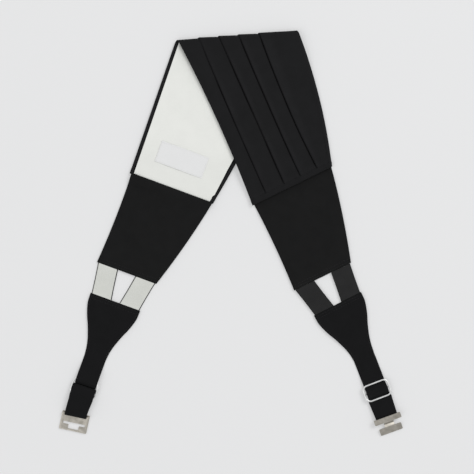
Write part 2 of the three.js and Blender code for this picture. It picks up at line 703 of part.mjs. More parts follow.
function armGroup(arm) {
  const group = new THREE.Group();
  const corner = seamCorner(arm);
  group.position.set(corner.x, corner.y, 0);
  group.rotation.z = radians(arm.seamTilt);

  group.add(named(`side_panel_${arm.name}`, sidePanel(arm), cloth(COLOURS.panel, 0.85)));
  const bandLevel = arm.faceUp ? BACKING_THICKNESS + CLEARANCE : 0;
  const backingLevel = arm.faceUp ? 0 : BAND_THICKNESS + CLEARANCE;
  for (const [side, edge] of [
    [-1, "a"],
    [1, "b"],
  ]) {
    const elastic = band(arm, side, BAND_WIDTH, bandLevel, BAND_THICKNESS);
    const backing = band(arm, side, BACKING_WIDTH, backingLevel, BACKING_THICKNESS);
    group.add(named(`band_${arm.name}_${edge}`, elastic, cloth(COLOURS.elastic, 0.8)));
    group.add(named(`band_${arm.name}_${edge}_backing`, backing, cloth(COLOURS.backing, 0.8)));
  }
  group.add(named(`back_strap_${arm.name}`, backStrap(arm), cloth(COLOURS.strap, 0.85)));

  const silver = new THREE.MeshStandardMaterial({ color: "#c8c8c8", roughness: 0.25, metalness: 1 });
  const brushed = new THREE.MeshStandardMaterial({ color: "#a8a49a", roughness: 0.4, metalness: 1 });
  group.add(onStrap(arm, arm.slideAt, SLIDE_LEVEL, named(`slide_${arm.name}`, slide(), silver)));
  const clasp = arm.faceUp ? named("hook", hook(), brushed) : named("eye", eye(), brushed);
  group.add(onStrap(arm, arm.railAt, railLevel(arm), clasp));
  return group;
}

function cummerbund() {
  const whole = new THREE.Group();
  whole.add(named("pleated_front", pleatedFront(), cloth(COLOURS.faille, 0.85)));
  whole.add(named("lining", lining(), cloth(COLOURS.lining, 0.7)));
  const right = armGroup(RIGHT_ARM);
  const left = armGroup(LEFT_ARM);
  left.add(named("label", label(), cloth(COLOURS.label, 0.6)));
  whole.add(right, left);

  whole.updateMatrixWorld(true);
  const box = new THREE.Box3().setFromObject(whole, true);
  const centre = box.getCenter(new THREE.Vector3());
  whole.position.set(-centre.x, -centre.y, -box.min.z);
  const root = new THREE.Group();
  root.add(whole);
  return root;
}

export default cummerbund();
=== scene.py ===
"""A pleated black cummerbund, folded over once and laid flat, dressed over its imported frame.

The right arm lies face up over the left arm, which lies face down with its lining up. Each arm runs
from the fold through the pleated front, a plain side panel, two elastic bands and a tapered tab to
the adjustable strap with its wire slide and its half of the clasp. Sizes are in millimetres.
"""

import logging
import math
from dataclasses import dataclass, field
from enum import Enum
from typing import Any, Optional, Sequence, Union

import bpy
import numpy as np
from mathutils import Matrix, Vector


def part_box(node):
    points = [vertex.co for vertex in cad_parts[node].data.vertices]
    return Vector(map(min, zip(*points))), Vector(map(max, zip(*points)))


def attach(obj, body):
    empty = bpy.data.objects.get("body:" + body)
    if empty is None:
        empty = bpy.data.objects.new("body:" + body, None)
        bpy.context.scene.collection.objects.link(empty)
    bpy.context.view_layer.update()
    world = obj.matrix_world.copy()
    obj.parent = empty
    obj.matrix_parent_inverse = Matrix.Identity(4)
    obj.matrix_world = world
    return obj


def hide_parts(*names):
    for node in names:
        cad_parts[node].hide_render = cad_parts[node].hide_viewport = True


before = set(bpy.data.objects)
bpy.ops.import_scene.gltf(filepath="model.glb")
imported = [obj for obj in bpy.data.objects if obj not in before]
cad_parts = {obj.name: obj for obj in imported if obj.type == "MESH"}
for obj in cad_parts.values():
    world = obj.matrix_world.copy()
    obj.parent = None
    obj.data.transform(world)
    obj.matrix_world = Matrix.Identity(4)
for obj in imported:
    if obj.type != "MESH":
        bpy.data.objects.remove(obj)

LOG = logging.getLogger("cummerbund")
MM = 0.001
CLOTH_UV = "cloth_mm"
SHADOWED = "shadowed"
Array = np.ndarray
Number = Union[float, Array]


class Facing(Enum):
    """Which way an arm's face looks."""

    UP = 1
    DOWN = -1


class Weave(Enum):
    """How a cloth's threads lie, as seen from close by."""

    TWILL = "twill"
    PLAIN = "plain"
    RIB = "rib"
    KNIT = "knit"


# ---- plain helpers ----


def smooth(share: Number) -> Number:
    """Ease from 0 to 1 as share goes from 0 to 1."""
    held = np.clip(share, 0.0, 1.0)
    return held * held * (3.0 - 2.0 * held)


def mix(start: Number, end: Number, share: Number) -> Number:
    """Blend from start to end by share."""
    return start + (end - start) * share


def heading(bearing: Number) -> Array:
    """The direction in plan at a bearing from straight down, in degrees, towards +X when positive."""
    turn = np.radians(bearing)
    return np.stack([np.sin(turn), -np.cos(turn)], axis=-1)


def tilted(angle: Number) -> Array:
    """The direction in plan at an angle above +X, in degrees."""
    turn = np.radians(angle)
    return np.stack([np.cos(turn), np.sin(turn)], axis=-1)


def ripple(x: Array, y: Array, length: float, seed: int) -> Array:
    """A soft, uneven swell over a surface.

    Args:
        x: First coordinate of each point, in millimetres.
        y: Second coordinate of each point, in millimetres.
        length: Typical length from crest to crest, in millimetres.
        seed: Picks one of many swells; the same seed always gives the same one.

    Returns:
        A value from about -1 to 1 for each point.
    """
    source = np.random.default_rng(seed)
    total = np.zeros_like(x, dtype=float)
    for angle, stretch, phase in zip(
        source.uniform(0, 360, 6), source.uniform(0.7, 1.7, 6), source.uniform(0, 2 * math.pi, 6)
    ):
        along = tilted(angle)
        wave = 2 * math.pi / (length * stretch)
        total += np.sin((x * along[0] + y * along[1]) * wave + phase)
    return total / 3.2


def curve_through(knots: Array, steps: int) -> Array:
    """A smooth curve through given points.

    Args:
        knots: The points, one row each, with any number of coordinates.
        steps: How many pieces each stretch between two points is cut into.

    Returns:
        The points of the curve, the first and last knot included.
    """
    padded = np.vstack([2 * knots[0] - knots[1], knots, 2 * knots[-1] - knots[-2]])
    share = np.linspace(0, 1, steps, endpoint=False)[:, None]
    parts = []
    for i in range(1, len(padded) - 2):
        before, start, end, after = padded[i - 1 : i + 3]
        tangent = 0.5 * (end - before)
        leaving = 0.5 * (after - start)
        square, cube = share**2, share**3
        parts.append(
            (2 * cube - 3 * square + 1) * start
            + (cube - 2 * square + share) * tangent
            + (3 * square - 2 * cube) * end
            + (cube - square) * leaving
        )
    return np.vstack(parts + [knots[-1][None, :]])


def rows_of(length: float, spacing: float, edge: float) -> Array:
    """Distances along a piece, close together near both ends, where it is rounded."""
    middle = np.linspace(edge, length - edge, max(2, int(length / spacing)))
    near = edge * np.array([0.0, 0.12, 0.35, 0.65])
    return np.concatenate([near, middle, length - near[::-1]])


def end_taper(distances: Array, length: float, edge: float) -> Array:
    """How much of its thickness a piece has at each distance, rounded off over edge at both ends."""
    from_end = np.minimum(distances, length - distances)
    depth = np.clip(1 - from_end / edge, 0, 1)
    return np.maximum(np.sqrt(1 - depth**2), 0.28)


# ---- sizes shared by the pieces ----


@dataclass(frozen=True)
class PleatLine:
    """A long edge or pleat line: where it leaves the fold, where it meets the seam and how it bows."""

    fold: float
    seam: float
    bow: float
    depth: tuple[tuple[float, float], ...] = ((0.0, 1.0), (1.0, 1.0))

    def depth_at(self, share: Array) -> Array:
        """How deep the pleat stands, from 0 to 1, at shares of the way from the fold to the seam."""
        places, depths = zip(*self.depth)
        return np.interp(share, places, depths)


@dataclass(frozen=True)
class Garment:
    """The sizes that the pieces share, in millimetres."""

    fold_length: float = 132.3
    fold_tilt: float = 4.4
    fold_drift: float = 4.4
    fold_gap: float = 0.4
    seam_width: float = 97.4
    turned_edge: float = 3.8
    hem_width: float = 5.5
    stack: float = 1.3
    lower_level: float = 2.3
    lap: float = 1.3
    lap_margin: float = 1.5
    ramp: float = 10.0
    drape_margin: float = 2.1
    drape_run: float = 40.0
    tongue_raise: float = 1.3
    panel_length: float = 104.2
    panel_end_width: float = 69.7
    band_length: float = 34.0
    tab_length: float = 66.0
    tab_width: float = 58.0
    strap_width: float = 24.2
    label_from_seam: float = 22.0
    lines: tuple[PleatLine, ...] = (
        PleatLine(0.0, 0.0, 0.0),
        PleatLine(0.18, 0.2, -0.01, ((0.0, 0.15), (0.23, 0.35), (0.28, 1.0), (0.46, 1.0), (0.52, 0.55), (1.0, 0.5))),
        PleatLine(0.347, 0.432, 0.0, ((0.0, 0.2), (0.12, 0.35), (0.17, 0.95), (0.42, 0.95), (0.5, 0.5), (0.66, 0.5), (0.72, 0.95), (1.0, 0.8))),
        PleatLine(0.51, 0.637, -0.012, ((0.0, 0.3), (0.08, 1.0), (0.82, 1.0), (0.9, 0.6), (1.0, 0.6))),
        PleatLine(0.68, 0.846, -0.03, ((0.0, 0.4), (0.06, 1.0), (1.0, 1.0))),
        PleatLine(1.0, 1.0, 0.052),
    )

    @property
    def fold_radius(self) -> float:
        """Radius of the fold, measured to the back of the front's cloth."""
        return self.stack + self.fold_gap / 2

    @property
    def drape_shelf(self) -> float:
        """How far the right arm stays level beyond the left arm's bowed edge before it falls."""
        return self.lines[-1].bow * self.seam_width + self.drape_margin

    @property
    def upper_level(self) -> float:
        """Level of the back of the front's cloth where the right arm lies over the left."""
        return self.lower_level + 2 * self.fold_radius


GARMENT = Garment()


@dataclass(frozen=True)
class Arm:
    """One arm of the garment in plan: its bearings, its seam and the run of its strap."""

    name: str
    facing: Facing
    edge_length: float
    edge_bearing: float
    edge_bow: float
    seam_tilt: float
    tab_shift: float
    tab_turn: float
    neck_turn: float
    end_turn: float
    slide_at: float
    rail_at: float
    end_pull: float

    @property
    def face(self) -> int:
        """1 where the face looks up and -1 where it looks down."""
        return self.facing.value

    def fold_point(self, line: PleatLine) -> Array:
        """Where the fold's axis stands on a pleat line."""
        drift = self.face * GARMENT.fold_drift / 2
        return tilted(GARMENT.fold_tilt) * (line.fold * GARMENT.fold_length + drift)

    def corner(self) -> Array:
        """The corner where the long straight edge meets the seam."""
        return heading(self.edge_bearing) * self.edge_length + self.fold_point(GARMENT.lines[0])

    def seam_point(self, line: PleatLine) -> Array:
        """Where a pleat line meets the seam."""
        return tilted(self.seam_tilt) * (line.seam * GARMENT.seam_width) + self.corner()

    def line_length(self, line: PleatLine) -> float:
        """Length of a pleat line from the fold to the seam."""
        return float(np.linalg.norm(self.seam_point(line) - self.fold_point(line)))

    def line_point(self, line: PleatLine, share: Array) -> Array:
        """Points of a pleat line at shares of the way from the fold to the seam."""
        share = np.asarray(share, dtype=float)[..., None]
        bow = line.bow + (self.edge_bow if line is GARMENT.lines[0] else 0.0)
        swing = 4 * share * (1 - share) * bow * GARMENT.seam_width
        return mix(self.fold_point(line), self.seam_point(line), share) + swing * tilted(self.seam_tilt)

    def bearing(self, distance: Number) -> Number:
        """The strap's bearing in the arm's own frame, at a distance below the tab's top edge."""
        tab = GARMENT.tab_length
        neck = smooth((distance - 0.7 * tab) / (0.5 * tab))
        end = smooth((distance - self.slide_at) / (self.rail_at - self.slide_at))
        return self.tab_turn + self.neck_turn * neck + self.end_turn * end

    def spine(self, distance: Array) -> Array:
        """Points of the strap's middle line, in the arm's own frame, at distances below the tab's top."""
        pulled = smooth((distance - self.slide_at - 12.0) / (self.rail_at - self.slide_at - 12.0)) * self.end_pull
        reach = math.ceil(self.rail_at) + 20
        start = np.array([GARMENT.panel_end_width / 2 + self.tab_shift, -GARMENT.panel_length - GARMENT.band_length])
        path = np.vstack([start, start + np.cumsum(heading(self.bearing(np.arange(reach) + 0.5)), axis=0)])
        steps = np.arange(reach + 1)
        distance = np.asarray(distance, dtype=float)
        middle = np.stack([np.interp(distance, steps, path[:, axis]) for axis in (0, 1)], axis=-1)
        return middle + np.asarray(pulled)[..., None] * tilted(self.bearing(distance))

    def to_raw(self, points: Array) -> Array:
        """Points of the arm's own frame in the plan that the arms share."""
        right, up = tilted(self.seam_tilt), tilted(self.seam_tilt + 90)
        plan = self.corner() + points[..., 0:1] * right + points[..., 1:2] * up
        return np.concatenate([plan, points[..., 2:]], axis=-1)


RIGHT_ARM = Arm("right", Facing.UP, 196.9, 24.3, 0.031, 26.1, 1.6, 0.8, -6.1, -1.0, 104.7, 137.6, 0.0)
LEFT_ARM = Arm("left", Facing.DOWN, 151.9, -19.15, 0.0, -20.3, -0.6, 0.2, 1.2, 6.6, 100.9, 131.9, -1.3)


def frame_shift() -> Array:
    """How far the shared plan is moved to lie on the frame, found at the label, whose place is exact."""
    low, high = (np.array(corner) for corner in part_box("label"))
    label_height = 24.0
    centre = np.array([GARMENT.seam_width / 2, GARMENT.label_from_seam + label_height / 2, 0.0])
    return (low + high)[:2] / 2 / MM - LEFT_ARM.to_raw(centre)[:2]


SHIFT = frame_shift()


def in_place(points: Array) -> Array:
    """Points of the shared plan, moved to lie on the frame."""
    return points + np.array([SHIFT[0], SHIFT[1], 0.0])


# ---- node building ----


def linear(hex_colour: str) -> tuple[float, float, float, float]:
    """An sRGB hex colour as linear red, green, blue and alpha."""
    parts = [int(hex_colour[i : i + 2], 16) / 255 for i in (1, 3, 5)]
    red, green, blue = (p / 12.92 if p <= 0.04045 else ((p + 0.055) / 1.055) ** 2.4 for p in parts)
    return (red, green, blue, 1.0)


def add_node(
    tree: bpy.types.NodeTree,
    kind: str,
    settings: Optional[dict[str, Any]] = None,
    inputs: Optional[dict[Union[str, int], Any]] = None,
) -> bpy.types.Node:
    """Add a node with its settings and inputs.

    Args:
        tree: The node tree that takes it.
        kind: The node's type name.
        settings: Properties to set on it.
        inputs: A value, or an output socket to link, for each named or numbered input.

    Returns:
        The new node.
    """
    node = tree.nodes.new(kind)
    for name, value in (settings or {}).items():
        setattr(node, name, value)
    for key, value in (inputs or {}).items():
        if isinstance(value, bpy.types.NodeSocket):
            tree.links.new(value, node.inputs[key])
        else:
            node.inputs[key].default_value = value
    return node


def new_material(name: str) -> tuple[bpy.types.Material, bpy.types.NodeTree, bpy.types.Node]:
    """A material with only its surface shader and output.

    Args:
        name: The material's name.

    Returns:
        The material, its node tree and its surface shader.
    """
    material = bpy.data.materials.new(name)
    material.use_nodes = True
    tree = material.node_tree
    tree.nodes.clear()
    surface = add_node(tree, "ShaderNodeBsdfPrincipled")
    add_node(tree, "ShaderNodeOutputMaterial", inputs={"Surface": surface.outputs["BSDF"]})
    return material, tree, surface


# A wave texture repeats every 2 pi / 20 of its vector's units at scale 1.
WAVE_UNIT = 2 * math.pi / 20


@dataclass(frozen=True)
class Cloth:
    """A woven or knitted cloth, its colour, its threads and how it takes the light."""

    name: str
    colour: str
    # Shade is the colour painted into the valleys between threads: a painted shade of the weave.
    shade: str
    weave: Weave
    thread: float
    relief: float
    roughness: float
    sheen: float
    mottle: float = 0.12
    gloss: float = 0.3
    # How far the painted shade and painted highlight from the mesh's marks darken and lighten the colour.
    painted_light_strength: float = 0.92

    def threads(self, tree: bpy.types.NodeTree) -> bpy.types.NodeSocket:
        """The height of the threads over the cloth, from 0 to 1.

        Args:
            tree: The material's node tree.

        Returns:
            The socket that carries the height.
        """
        chart = add_node(tree, "ShaderNodeUVMap", {"uv_map": CLOTH_UV})
        turn = math.radians(52 if self.weave is Weave.TWILL else 0)
        vector = add_node(
            tree, "ShaderNodeMapping", inputs={"Vector": chart.outputs["UV"], "Rotation": (0, 0, turn)}
        )
        cross = {Weave.TWILL: 0.45, Weave.PLAIN: 1.0, Weave.RIB: 0.4, Weave.KNIT: 0.6}[self.weave]
        first = add_node(
            tree,
            "ShaderNodeTexWave",
            {"wave_type": "BANDS", "bands_direction": "X", "wave_profile": "SIN"},
            {
                "Vector": vector.outputs["Vector"],
                "Scale": WAVE_UNIT / self.thread,
                "Distortion": 0.25,
                "Detail": 1.0,
                "Detail Scale": 1.5,
            },
        )
        second = add_node(
            tree,
            "ShaderNodeTexWave",
            {"wave_type": "BANDS", "bands_direction": "Y", "wave_profile": "SIN"},
            {
                "Vector": vector.outputs["Vector"],
                "Scale": WAVE_UNIT / (self.thread * cross),
                "Distortion": 0.25,
                "Detail": 1.0,
                "Detail Scale": 1.5,
            },
        )
        share = 0.5 if self.weave is Weave.PLAIN else 0.3
        woven = add_node(
            tree,
            "ShaderNodeMix",
            {"data_type": "FLOAT"},
            {0: share, 2: first.outputs["Fac"], 3: second.outputs["Fac"]},
        )
        fuzz = add_node(
            tree,
            "ShaderNodeTexNoise",
            inputs={"Vector": chart.outputs["UV"], "Scale": 1 / (0.7 * self.thread), "Detail": 3.0},
        )
        return add_node(
            tree, "ShaderNodeMix", {"data_type": "FLOAT"}, {0: 0.25, 2: woven.outputs[0], 3: fuzz.outputs["Fac"]}
        ).outputs[0]

    def material(self) -> bpy.types.Material:
        """The finish as a material."""
        material, tree, surface = new_material(self.name)
        height = self.threads(tree)
        place = add_node(tree, "ShaderNodeTexCoord")
        patches = add_node(
            tree,
            "ShaderNodeTexNoise",
            inputs={"Vector": place.outputs["Object"], "Scale": 1 / (14 * MM), "Detail": 4.0, "Roughness": 0.6},
        )
        uneven = add_node(
            tree,
            "ShaderNodeMapRange",
            inputs={"Value": patches.outputs["Fac"], 1: 0.3, 2: 0.7, 3: 1 - self.mottle, 4: 1 + self.mottle},
        )
        # The thread colour mixed with the painted shade of the valleys between threads, by thread height.
        valley_shaded = add_node(
            tree,
            "ShaderNodeMix",
            {"data_type": "RGBA"},
            {0: height, 6: linear(self.shade), 7: linear(self.colour)},
        )
        # Painted shade in creases and painted highlights, read from the mesh's marks, scale the colour.
        painted_shading = add_node(tree, "ShaderNodeAttribute", {"attribute_name": SHADOWED})
        lit = add_node(
            tree,
            "ShaderNodeMapRange",
            inputs={"Value": painted_shading.outputs["Fac"], 1: -1.0, 2: 1.0, 3: 1.0 + self.painted_light_strength, 4: 1.0 - self.painted_light_strength},
        )
        amount = add_node(
            tree, "ShaderNodeMath", {"operation": "MULTIPLY"}, {0: uneven.outputs["Result"], 1: lit.outputs["Result"]}
        )
        tint = add_node(
            tree,
            "ShaderNodeVectorMath",
            {"operation": "SCALE"},
            {0: valley_shaded.outputs[2], "Scale": amount.outputs["Value"]},
        )
        dull = add_node(
            tree,
            "ShaderNodeMapRange",
            inputs={"Value": height, 3: min(1.0, self.roughness + 0.08), 4: self.roughness - 0.08},
        )
        bump = add_node(tree, "ShaderNodeBump", inputs={"Height": height, "Strength": 1.0, "Distance": self.relief * MM})
        tree.links.new(tint.outputs[0], surface.inputs["Base Color"])
        tree.links.new(dull.outputs["Result"], surface.inputs["Roughness"])
        tree.links.new(bump.outputs["Normal"], surface.inputs["Normal"])
        surface.inputs["IOR"].default_value = 1.5
        surface.inputs["Specular IOR Level"].default_value = self.gloss
        surface.inputs["Sheen Weight"].default_value = self.sheen
        surface.inputs["Sheen Roughness"].default_value = 0.45
        return material


@dataclass(frozen=True)
class Metal:
    """A drawn or stamped metal, its colour and the fine marks that its making left."""

    name: str
    colour: str
    wear_and_lighter_tone: str
    roughness: float
    grain: float
    relief: float
    stretch: float = 1.0

    def material(self) -> bpy.types.Material:
        """The finish as a material."""
        material, tree, surface = new_material(self.name)
        place = add_node(tree, "ShaderNodeTexCoord")
        vector = add_node(
            tree,
            "ShaderNodeMapping",
            inputs={"Vector": place.outputs["Object"], "Scale": (1.0, self.stretch, 1.0)},
        )
        grain = add_node(
            tree,
            "ShaderNodeTexNoise",
            inputs={"Vector": vector.outputs["Vector"], "Scale": 1 / (self.grain * MM), "Detail": 5.0},
        )
        stain = add_node(
            tree,
            "ShaderNodeTexNoise",
            inputs={"Vector": place.outputs["Object"], "Scale": 1 / (6 * MM), "Detail": 3.0},
        )
        patch = add_node(tree, "ShaderNodeMapRange", inputs={"Value": stain.outputs["Fac"], 1: 0.4, 2: 0.75})
        mixed = add_node(
            tree,
            "ShaderNodeMix",
            {"data_type": "RGBA"},
            {0: patch.outputs["Result"], 6: linear(self.colour), 7: linear(self.wear_and_lighter_tone)},
        )
        # Painted shade and painted highlight, read from the mesh's marks, scale the colour.
        painted_metal_light = add_node(tree, "ShaderNodeAttribute", {"attribute_name": SHADOWED})
        bright = add_node(tree, "ShaderNodeMapRange", inputs={"Value": painted_metal_light.outputs["Fac"], 1: -1.0, 2: 1.0, 3: 1.8, 4: 0.2})
        colour = add_node(
            tree,
            "ShaderNodeVectorMath",
            {"operation": "SCALE"},
            {0: mixed.outputs[2], "Scale": bright.outputs["Result"]},
        )
        dull = add_node(
            tree,
            "ShaderNodeMapRange",
            inputs={"Value": grain.outputs["Fac"], 3: self.roughness - 0.07, 4: self.roughness + 0.1},
        )
        bump = add_node(
            tree,
            "ShaderNodeBump",
            inputs={"Height": grain.outputs["Fac"], "Strength": 0.6, "Distance": self.relief * MM},
        )
        tree.links.new(colour.outputs[0], surface.inputs["Base Color"])
        tree.links.new(dull.outputs["Result"], surface.inputs["Roughness"])
        tree.links.new(bump.outputs["Normal"], surface.inputs["Normal"])
        surface.inputs["Metallic"].default_value = 1.0
        return material


@dataclass(frozen=True)
class FloorPaper:
    """The plain pale table that the garment lies on, lit a little from below, so shadows stay faint."""

    name: str = "pale_matt_paper"
    colour: str = "#c0c0c0"
    glow_colour: str = "#e9e9e9"
    glow: float = 0.35

    def material(self) -> bpy.types.Material:
        """The finish as a material."""
        material, tree, surface = new_material(self.name)
        place = add_node(tree, "ShaderNodeTexCoord")
        tooth = add_node(
            tree,
            "ShaderNodeTexNoise",
            inputs={"Vector": place.outputs["Object"], "Scale": 1 / (2 * MM), "Detail": 2.0},
        )
        bump = add_node(
            tree, "ShaderNodeBump", inputs={"Height": tooth.outputs["Fac"], "Strength": 0.1, "Distance": 0.05 * MM}
        )
        tree.links.new(bump.outputs["Normal"], surface.inputs["Normal"])
        surface.inputs["Base Color"].default_value = linear(self.colour)
        surface.inputs["Emission Color"].default_value = linear(self.glow_colour)
        surface.inputs["Emission Strength"].default_value = self.glow
        surface.inputs["Roughness"].default_value = 0.95
        surface.inputs["Specular IOR Level"].default_value = 0.1
        return material


# Each cloth's second colour is the painted shade in the valleys between its threads.
# Black polyester twill: dull, with a faint bloom where the light grazes it
PLEAT_TWILL = Cloth("black_polyester_twill", "#1b1b1c", "#101011", Weave.TWILL, 0.8, 0.05, 0.82, 0.05, 0.12, 0.15)
PANEL_TWILL = Cloth("black_panel_twill", "#191919", "#0f0f0f", Weave.TWILL, 0.8, 0.04, 0.85, 0.04, 0.12, 0.14)
# Knitted elastic: charcoal, ribbed lengthwise, a little lighter than the cloth
BAND_ELASTIC = Cloth("charcoal_knitted_elastic", "#2b2b2b", "#181818", Weave.KNIT, 1.1, 0.09, 0.8, 0.08, 0.12, 0.18)
# Cotton backing tape: off-white, dry and flat
BACKING_TAPE = Cloth("off_white_cotton_tape", "#dcddd7", "#cbccc5", Weave.RIB, 0.9, 0.05, 0.9, 0.05, 0.03)
# Strap twill: the same black, slightly bluish, woven tighter
STRAP_TWILL = Cloth("black_strap_twill", "#141415", "#0b0b0c", Weave.TWILL, 0.7, 0.05, 0.84, 0.04, 0.12, 0.14)
# Polyester lining: smooth white plain weave
LINING_CLOTH = Cloth("white_polyester_lining", "#efefea", "#e4e5df", Weave.PLAIN, 0.5, 0.02, 0.62, 0.05, 0.015)
# Woven label: white satin ribbon with nothing on it
LABEL_RIBBON = Cloth("white_label_ribbon", "#ebebea", "#e1e1e0", Weave.RIB, 0.4, 0.01, 0.55, 0.05, 0.008, 0.2)
# Sewing thread: black spun polyester, and white on the label
BLACK_THREAD = Cloth("black_sewing_thread", "#1c1c1d", "#0f0f10", Weave.TWILL, 0.3, 0.03, 0.6, 0.2)
WHITE_THREAD = Cloth("white_sewing_thread", "#dededa", "#c8c8c4", Weave.TWILL, 0.3, 0.03, 0.6, 0.2, 0.02)
# Slide wire: drawn steel, nickel plated and bright
SLIDE_WIRE = Metal("nickel_plated_wire", "#f2f2f0", "#dcdcda", 0.4, 0.5, 0.01)
# Clasp: stamped steel, satin nickel, slightly warm
CLASP_NICKEL = Metal("satin_nickel_plate", "#bbb6ac", "#9c978d", 0.42, 0.25, 0.015, 0.2)

MATERIALS: dict[str, bpy.types.Material] = {}


def finish_of(finish: Union[Cloth, Metal, FloorPaper]) -> bpy.types.Material:
    """The material of a finish, made once and shared."""
    if finish.name not in MATERIALS:
        MATERIALS[finish.name] = finish.material()
    return MATERIALS[finish.name]


# ---- mesh building ----


def deselect_all() -> None:
    """Leave edit mode and select nothing."""
    if bpy.context.object is not None and bpy.context.object.mode != "OBJECT":
        bpy.ops.object.mode_set(mode="OBJECT")
    bpy.ops.object.select_all(action="DESELECT")


def only(piece: bpy.types.Object) -> None:
    """Select one piece alone and make it active."""
    deselect_all()
    piece.select_set(True)
    bpy.context.view_layer.objects.active = piece


def shade(piece: bpy.types.Object, angle: float = 35.0) -> None:
    """Shade a piece smooth up to an angle between its faces, in degrees."""
    only(piece)
    bpy.ops.object.shade_smooth_by_angle(angle=math.radians(angle))


def apply_modifier(piece: bpy.types.Object, kind: str, settings: dict[str, Any]) -> None:
    """Add a modifier to a piece and apply it.

    Args:
        piece: The piece that is changed.
        kind: The modifier's type name.
        settings: Properties to set on it.
    """
    only(piece)
    modifier = piece.modifiers.new(kind.title(), kind)
    for name, value in settings.items():
        setattr(modifier, name, value)
    bpy.ops.object.modifier_apply(modifier=modifier.name)


def cloth_chart(points: Array, middle: int) -> Array:
    """How far each point of a surface lies across and along its cloth.

    Args:
        points: Rows of points, in millimetres.
        middle: The column that the distances across are counted from.

    Returns:
        The distance across and along for each point, in millimetres.
    """
    across = np.zeros(points.shape[:2])
    across[:, 1:] = np.cumsum(np.linalg.norm(np.diff(points, axis=1), axis=-1), axis=1)
    across -= across[:, middle : middle + 1]
    steps = np.linalg.norm(np.diff(points[:, middle], axis=0), axis=-1)
    along = np.concatenate([[0.0], np.cumsum(steps)])
    return np.stack([across, np.broadcast_to(along[:, None], across.shape)], axis=-1)


def sheet_piece(
    name: str, points: Array, chart: Optional[Array] = None, shadowed: Optional[Array] = None
) -> bpy.types.Object:
    """A sheet shaped from a grid.

    Args:
        name: The piece's name.
        points: Rows of points, in millimetres.
        chart: Distances across and along the cloth for its own map; measured if left out.
        shadowed: Painted shade at each point, up to 1 deep in a crease; below 0 a painted highlight.

    Returns:
        The sheet, one layer of faces thick.
    """
    rows, columns = points.shape[:2]
    points = np.maximum(points, (-np.inf, -np.inf, 0.0))
    if chart is None:
        chart = cloth_chart(points, columns // 2)
    deselect_all()
    bpy.ops.mesh.primitive_grid_add(x_subdivisions=columns - 1, y_subdivisions=rows - 1, size=1, calc_uvs=True)
    piece = bpy.context.object
    piece.name = name
    piece.data.name = name
    flat = np.empty(len(piece.data.vertices) * 3)
    piece.data.vertices.foreach_get("co", flat)
    flat = flat.reshape(-1, 3)
    column = np.rint((flat[:, 0] + 0.5) * (columns - 1)).astype(int)
    row = np.rint((flat[:, 1] + 0.5) * (rows - 1)).astype(int)
    piece.data.vertices.foreach_set("co", (points[row, column] * MM).ravel())
    corners = np.empty(len(piece.data.loops), dtype=int)
    piece.data.loops.foreach_get("vertex_index", corners)
    layer = piece.data.uv_layers[0]
    layer.name = CLOTH_UV
    layer.data.foreach_set("uv", chart[row[corners], column[corners]].ravel())
    if shadowed is not None:
        depths = piece.data.attributes.new(SHADOWED, "FLOAT", "POINT")
        depths.data.foreach_set("value", shadowed[row, column])
    piece.data.update()
    return piece


def clean_shell(piece: bpy.types.Object, close: bool = True) -> None:
    """Merge a shell's doubled points, close its ends and turn its faces outwards.

    Args:
        piece: The piece that is cleaned.
        close: Whether open ends are filled.
    """
    only(piece)
    bpy.ops.object.mode_set(mode="EDIT")
    bpy.ops.mesh.select_all(action="SELECT")
    bpy.ops.mesh.remove_doubles(threshold=1e-6)
    if close:
        bpy.ops.mesh.select_all(action="SELECT")
        bpy.ops.mesh.fill_holes(sides=0)
    bpy.ops.mesh.select_all(action="SELECT")
    bpy.ops.mesh.normals_make_consistent(inside=False)
    bpy.ops.object.mode_set(mode="OBJECT")


def loft_piece(name: str, rings: Array, top: int, shadowed: Optional[Array] = None) -> bpy.types.Object:
    """A closed piece whose skin runs through rings of points.

    Args:
        name: The piece's name.
        rings: One ring of points for each row, in millimetres, each ring's last point next to its first.
        top: The point of a ring that lies in the middle of its upper side.
        shadowed: Painted shade at each point of each ring, up to 1 deep in a crease; below 0 a painted highlight.

    Returns:
        The closed piece.
    """
    wrapped = np.concatenate([rings, rings[:, :1]], axis=1)
    if shadowed is not None:
        shadowed = np.concatenate([shadowed, shadowed[:, :1]], axis=1)
    piece = sheet_piece(name, wrapped, cloth_chart(wrapped, top), shadowed)
    clean_shell(piece)
    shade(piece, 50)
    return piece


ROUNDING = np.array([60.0, 30.0, 0.0, -30.0, -60.0])


def slab_rings(left: Array, right: Array, low: Array, high: Array, edge: float) -> Array:
    """Rings round a flat piece of cloth with rounded long edges.

    Args:
        left: Plan of its left edge, one point for each row.
        right: Plan of its right edge, one point for each row.
        low: Level of its underside, for each row and column.
        high: Level of its upper side, for each row and column.
        edge: How far in from its edges the rounding starts.

    Returns:
        One ring for each row: upper side, right edge, underside, left edge.
    """
    columns = high.shape[1]
    width = np.linalg.norm(right - left, axis=-1)[:, None]
    across = (right - left) / width
    inside = edge + np.linspace(0, 1, columns)[None, :] * (width - 2 * edge)
    upper = left[:, None] + inside[..., None] * across[:, None]
    middle, half = (high + low) / 2, (high - low) / 2

    def rounded(angles: Array, start: Array, column: int) -> Array:
        """One rounded edge, at angles round the point where its rounding starts."""
        turn = np.radians(angles)[None, :]
        reach = start + edge * np.cos(turn)
        plan = left[:, None] + reach[..., None] * across[:, None]
        level = middle[:, [column]] + half[:, [column]] * np.sin(turn)
        return np.concatenate([plan, level[..., None]], axis=-1)

    return np.concatenate(
        [
            np.concatenate([upper, high[..., None]], axis=-1),
            rounded(ROUNDING, width - edge, -1),
            np.concatenate([upper, low[..., None]], axis=-1)[:, ::-1],
            rounded(-180 - ROUNDING, np.full_like(width, edge), 0),
        ],
        axis=1,
    )


